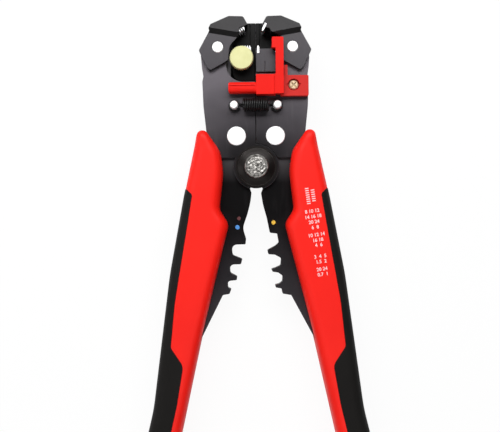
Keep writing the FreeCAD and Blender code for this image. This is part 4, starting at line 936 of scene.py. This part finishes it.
def make_pressed_face(name, z, radius, crown, lift):
    """A lumpy disc with an upright rim. Its crown is highest in the middle."""
    rings, spokes = 26, 96
    points = [(0.0, 0.0, z + crown + lift * 0.5)]
    for ring in range(1, rings + 1):
        reach = radius * ring / rings
        fade = min(1.0, (radius - reach) / 0.5)
        for spoke in range(spokes):
            angle = math.tau * spoke / spokes
            x, y = reach * math.cos(angle), reach * math.sin(angle)
            lump = noise.noise(Vector((x * 0.95, y * 0.95, 3.7)))
            fine = noise.noise(Vector((x * 2.6, y * 2.6, 8.1)))
            rise = crown * (1 - reach / radius)
            points.append((x, y, z + rise + fade * lift * (0.5 + 1.3 * lump + 0.5 * fine)))
    faces = disc_faces(rings, spokes)
    base = len(points)
    last = 1 + (rings - 1) * spokes
    for spoke in range(spokes):
        x, y, _ = points[last + spoke]
        points.append((x, y, z - 0.15))
    for spoke in range(spokes):
        following = (spoke + 1) % spokes
        faces.append((last + spoke, base + spoke, base + following, last + following))
    faces.append(tuple(reversed(range(base, base + spokes))))
    piece = make_piece(name, points, faces, zinc)
    return settle(piece, 60.0)


FACE_SUNK = 0.2
FACE_RADIUS = 4.3
FACE_CROWN = 0.25
FACE_LIFT = 0.3
bolt_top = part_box("pivot_bolt")[1].z / MM
pressed_face = make_pressed_face(
    "pressed_bolt_face", bolt_top - FACE_SUNK, FACE_RADIUS, FACE_CROWN, FACE_LIFT
)
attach(pressed_face, "pivot")
print("pressed face", len(pressed_face.data.polygons))

# %% [markdown]
# ## Paint dots
# Small drops of paint on the levers mark which nest is which. A drop is highest just inside its
# rim and a little sunk in the middle, so each is a turned profile of that kind.


# %% Make the paint dots
DROP_PROFILE = [(0.45, 0.055), (0.8, 0.075), (0.93, 0.06), (1.0, 0.0), (1.0, -0.06)]
DROP_MIDDLE = 0.05


def make_drop(name, x, y, z, radius, material, body):
    """Turns the profile, whose pairs are a share of the radius and a height, into a drop."""
    spokes = 40
    points = [(x, y, z + DROP_MIDDLE)]
    for share, tall in DROP_PROFILE:
        for spoke in range(spokes):
            angle = math.tau * spoke / spokes
            wobble = 1 + 0.04 * math.sin(3 * angle + x)
            reach = radius * share * wobble
            points.append((x + reach * math.cos(angle), y + reach * math.sin(angle), z + tall))
    faces = disc_faces(len(DROP_PROFILE), spokes)
    last = 1 + (len(DROP_PROFILE) - 1) * spokes
    faces.append(tuple(reversed(range(last, last + spokes))))
    piece = settle(make_piece(name, points, faces, material), 60.0)
    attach(piece, body)


lever_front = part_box("left_lever")[1].z / MM
make_drop("blue_dot", -8.74, -27.08, lever_front, 1.0, blue_paint, "left_lever")
make_drop("red_dot", -8.0, -23.1, lever_front, 0.85, red_paint, "left_lever")
make_drop("yellow_dot", 7.54, -25.08, lever_front, 0.95, yellow_paint, "right_lever")

# %% [markdown]
# ## Printed figures
# The right handle carries a column of small white print. Only plain figures stand there, as on a
# scale, and above them two short rows of ticks. Print is a film of ink, so each figure is flat
# text made a mesh and given a film's thickness. The ticks repeat, so Geometry Nodes lay them.

# %% Print the figures
INK_TALL = 0.04
SHELL_FRONT = 21.8
INK_SUNK = 0.01
FIGURE_SIZE = 2.1
FIGURES = [
    ("8 10 12", 24.3, -20.2), ("14 16 18", 24.7, -22.6), ("20 24", 25.1, -24.9),
    ("6  8", 25.6, -27.3), ("10 12 14", 26.1, -30.6), ("16 18", 26.7, -32.9),
    ("4  6", 27.1, -35.1), ("3  4  5", 27.7, -40.1), ("1.5  2", 28.1, -42.4),
    ("20 24", 28.4, -45.7), ("0.7  1", 28.8, -48.0),
]
PRINT_LEAN = math.radians(8.0)


def lay_print(mesh, x, y):
    """Leans a print as the handle leans, and lays it on the shell's front."""
    for spot in mesh.vertices:
        across, up = spot.co.x, spot.co.y
        spot.co.x = across * math.cos(PRINT_LEAN) - up * math.sin(PRINT_LEAN) + x * MM
        spot.co.y = across * math.sin(PRINT_LEAN) + up * math.cos(PRINT_LEAN) + y * MM
        spot.co.z += (SHELL_FRONT + INK_TALL / 2 - INK_SUNK) * MM


def print_figure(name, words, x, y):
    letters = bpy.data.curves.new(name, "FONT")
    letters.body = words
    letters.size = FIGURE_SIZE * MM
    letters.align_x = "CENTER"
    letters.align_y = "CENTER"
    letters.extrude = INK_TALL / 2 * MM
    letters.offset = 0.05 * MM
    letters.resolution_u = 4
    holder = bpy.data.objects.new(name, letters)
    bpy.context.scene.collection.objects.link(holder)
    mesh = plain_mesh(holder)
    bpy.data.objects.remove(holder)
    piece = bpy.data.objects.new(name, mesh)
    bpy.context.scene.collection.objects.link(piece)
    lay_print(mesh, x, y)
    mesh.materials.clear()
    mesh.materials.append(white_ink)
    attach(piece, "right_lever")


for number, (words, x, y) in enumerate(FIGURES, start=1):
    print_figure(f"printed_figure_{number}", words, x, y)
print("printed figures", len(FIGURES))


# %% Lay the ticks with Geometry Nodes
def tick_tree():
    tree = bpy.data.node_groups.new("tick_row", "GeometryNodeTree")
    tree.interface.new_socket("Geometry", in_out="OUTPUT", socket_type="NodeSocketGeometry")
    add_input(tree, "Ticks", "NodeSocketInt", 7)
    add_input(tree, "Tick Length", "NodeSocketFloat", 0.003)
    add_input(tree, "Tick Width", "NodeSocketFloat", 0.0004)
    add_input(tree, "Spacing", "NodeSocketFloat", 0.0012)
    add_input(tree, "Ink", "NodeSocketMaterial", None)
    inlet = tree.nodes.new("NodeGroupInput")
    outlet = tree.nodes.new("NodeGroupOutput")
    row = tree.nodes.new("GeometryNodeMeshLine")
    step = tree.nodes.new("ShaderNodeCombineXYZ")
    bar = tree.nodes.new("GeometryNodeMeshCube")
    bar_size = tree.nodes.new("ShaderNodeCombineXYZ")
    bar_size.inputs["Z"].default_value = INK_TALL * MM
    copies = tree.nodes.new("GeometryNodeInstanceOnPoints")
    real = tree.nodes.new("GeometryNodeRealizeInstances")
    paint = tree.nodes.new("GeometryNodeSetMaterial")
    for source, target in (
        (inlet.outputs["Ticks"], row.inputs["Count"]),
        (inlet.outputs["Spacing"], step.inputs["Y"]),
        (step.outputs[0], row.inputs["Offset"]),
        (inlet.outputs["Tick Length"], bar_size.inputs["X"]),
        (inlet.outputs["Tick Width"], bar_size.inputs["Y"]),
        (bar_size.outputs[0], bar.inputs["Size"]),
        (row.outputs["Mesh"], copies.inputs["Points"]),
        (bar.outputs["Mesh"], copies.inputs["Instance"]),
        (copies.outputs[0], real.inputs["Geometry"]),
        (real.outputs[0], paint.inputs["Geometry"]),
        (inlet.outputs["Ink"], paint.inputs["Material"]),
        (paint.outputs[0], outlet.inputs["Geometry"]),
    ):
        tree.links.new(source, target)
    return tree


TICK_LENGTH = 1.6
TICK_WIDTH = 0.45
TICK_SPACING = 0.95


def lay_ticks(tree, name, x, y, ticks):
    """Prints a row of ticks that climbs from the given place."""
    row = make_piece(name, [], [], white_ink)
    laying = row.modifiers.new("laying", "NODES")
    laying.node_group = tree
    set_input(laying, "Ticks", ticks)
    set_input(laying, "Tick Length", TICK_LENGTH * MM)
    set_input(laying, "Tick Width", TICK_WIDTH * MM)
    set_input(laying, "Spacing", TICK_SPACING * MM)
    set_input(laying, "Ink", white_ink)
    mesh = plain_mesh(row)
    row.modifiers.clear()
    row.data = mesh
    lay_print(mesh, x, y)
    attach(row, "right_lever")


tick_row = tick_tree()
lay_ticks(tick_row, "printed_ticks_1", 22.9, -16.8, 8)
lay_ticks(tick_row, "printed_ticks_2", 25.2, -15.6, 6)

# %% [markdown]
# ## Table and light
# The tool lies on a white table. A wide soft lamp stands beyond the nose, and weaker ones beyond
# the handles and on the left, with nothing straight above, so flat steel is dark round the pivot.
# A camera ray that misses everything sees plain white. A glossy surface sees a studio instead: a
# bright low wall beyond the nose, which lights the sloping roofs of the jaws, and a dark one beyond
# the handles.

# %% Make the table
TABLE_HALF = 1500
TABLE_TOP = -0.2
TABLE_WHITE = 0.93
TABLE_GLOW = 0.93
corners = [(-1, -1), (1, -1), (1, 1), (-1, 1)]
table = make_piece(
    "table", [(x * TABLE_HALF, y * TABLE_HALF, TABLE_TOP) for x, y in corners], [(0, 1, 2, 3)], None
)
finish = Finish("white_table")
table_light = finish.node("ShaderNodeLightPath").outputs["Is Camera Ray"]
finish.surface(Base_Color=(*[TABLE_WHITE] * 3, 1.0), Roughness=0.9)
finish.shader.inputs["Specular IOR Level"].default_value = 0.1
glow = finish.node("ShaderNodeEmission")
glow.inputs["Strength"].default_value = 1.0
blend = finish.tree.nodes.new("ShaderNodeMixShader")
share = Signal(finish.tree, table_light) * TABLE_GLOW
connect(finish.tree, blend.inputs[0], share)
finish.tree.links.new(finish.shader.outputs[0], blend.inputs[1])
finish.tree.links.new(glow.outputs[0], blend.inputs[2])
finish.tree.links.new(blend.outputs[0], finish.tree.nodes["Material Output"].inputs["Surface"])
table.data.materials.append(finish.material)

# %% Light the scene
DIFFUSE_LEVEL = 0.5
STUDIO_LEVEL = 3.0
WALLS = [(0.3, 0.01), (0.45, 0.06), (0.55, 0.1), (0.72, 0.16), (0.88, 1.0)]

world = bpy.data.worlds.new("studio")
bpy.context.scene.world = world
world.use_nodes = True
tree = world.node_tree
background = tree.nodes["Background"]
ray = tree.nodes.new("ShaderNodeLightPath")
seen = Signal(tree, ray.outputs["Is Camera Ray"])
mirrored_ray = Signal(tree, ray.outputs["Is Glossy Ray"])
split = tree.nodes.new("ShaderNodeSeparateXYZ")
tree.links.new(tree.nodes.new("ShaderNodeTexCoord").outputs["Generated"], split.inputs[0])
walls = tree.nodes.new("ShaderNodeValToRGB")
connect(tree, walls.inputs["Fac"], Signal(tree, split.outputs["Y"]) * 0.5 + 0.5)
walls.color_ramp.elements[0].color = (0.01, 0.01, 0.01, 1)
for place, brightness in WALLS:
    walls.color_ramp.elements.new(place).color = (brightness, brightness, brightness, 1)
studio = Signal(tree, walls.outputs["Color"]) * STUDIO_LEVEL
level = DIFFUSE_LEVEL + seen * (1.0 - DIFFUSE_LEVEL) + mirrored_ray * (studio - DIFFUSE_LEVEL)
connect(tree, background.inputs["Strength"], level)


def soft_lamp(name, place, target, wide, deep, power):
    data = bpy.data.lights.new(name, "AREA")
    data.shape = "RECTANGLE"
    data.size = wide
    data.size_y = deep
    data.energy = power
    lamp = bpy.data.objects.new(name, data)
    lamp.location = place
    aim = Vector(target) - Vector(place)
    lamp.rotation_euler = aim.to_track_quat("-Z", "Y").to_euler()
    bpy.context.scene.collection.objects.link(lamp)


soft_lamp("nose_lamp", (0.0, 0.36, 0.5), (0.0, 0.03, 0.0), 0.8, 0.3, 4.9)
soft_lamp("handle_lamp", (0.0, -0.36, 0.6), (0.0, -0.08, 0.0), 0.8, 0.3, 1.4)
soft_lamp("left_lamp", (-0.6, -0.05, 0.45), (0.0, -0.03, 0.0), 0.3, 0.5, 1.3)
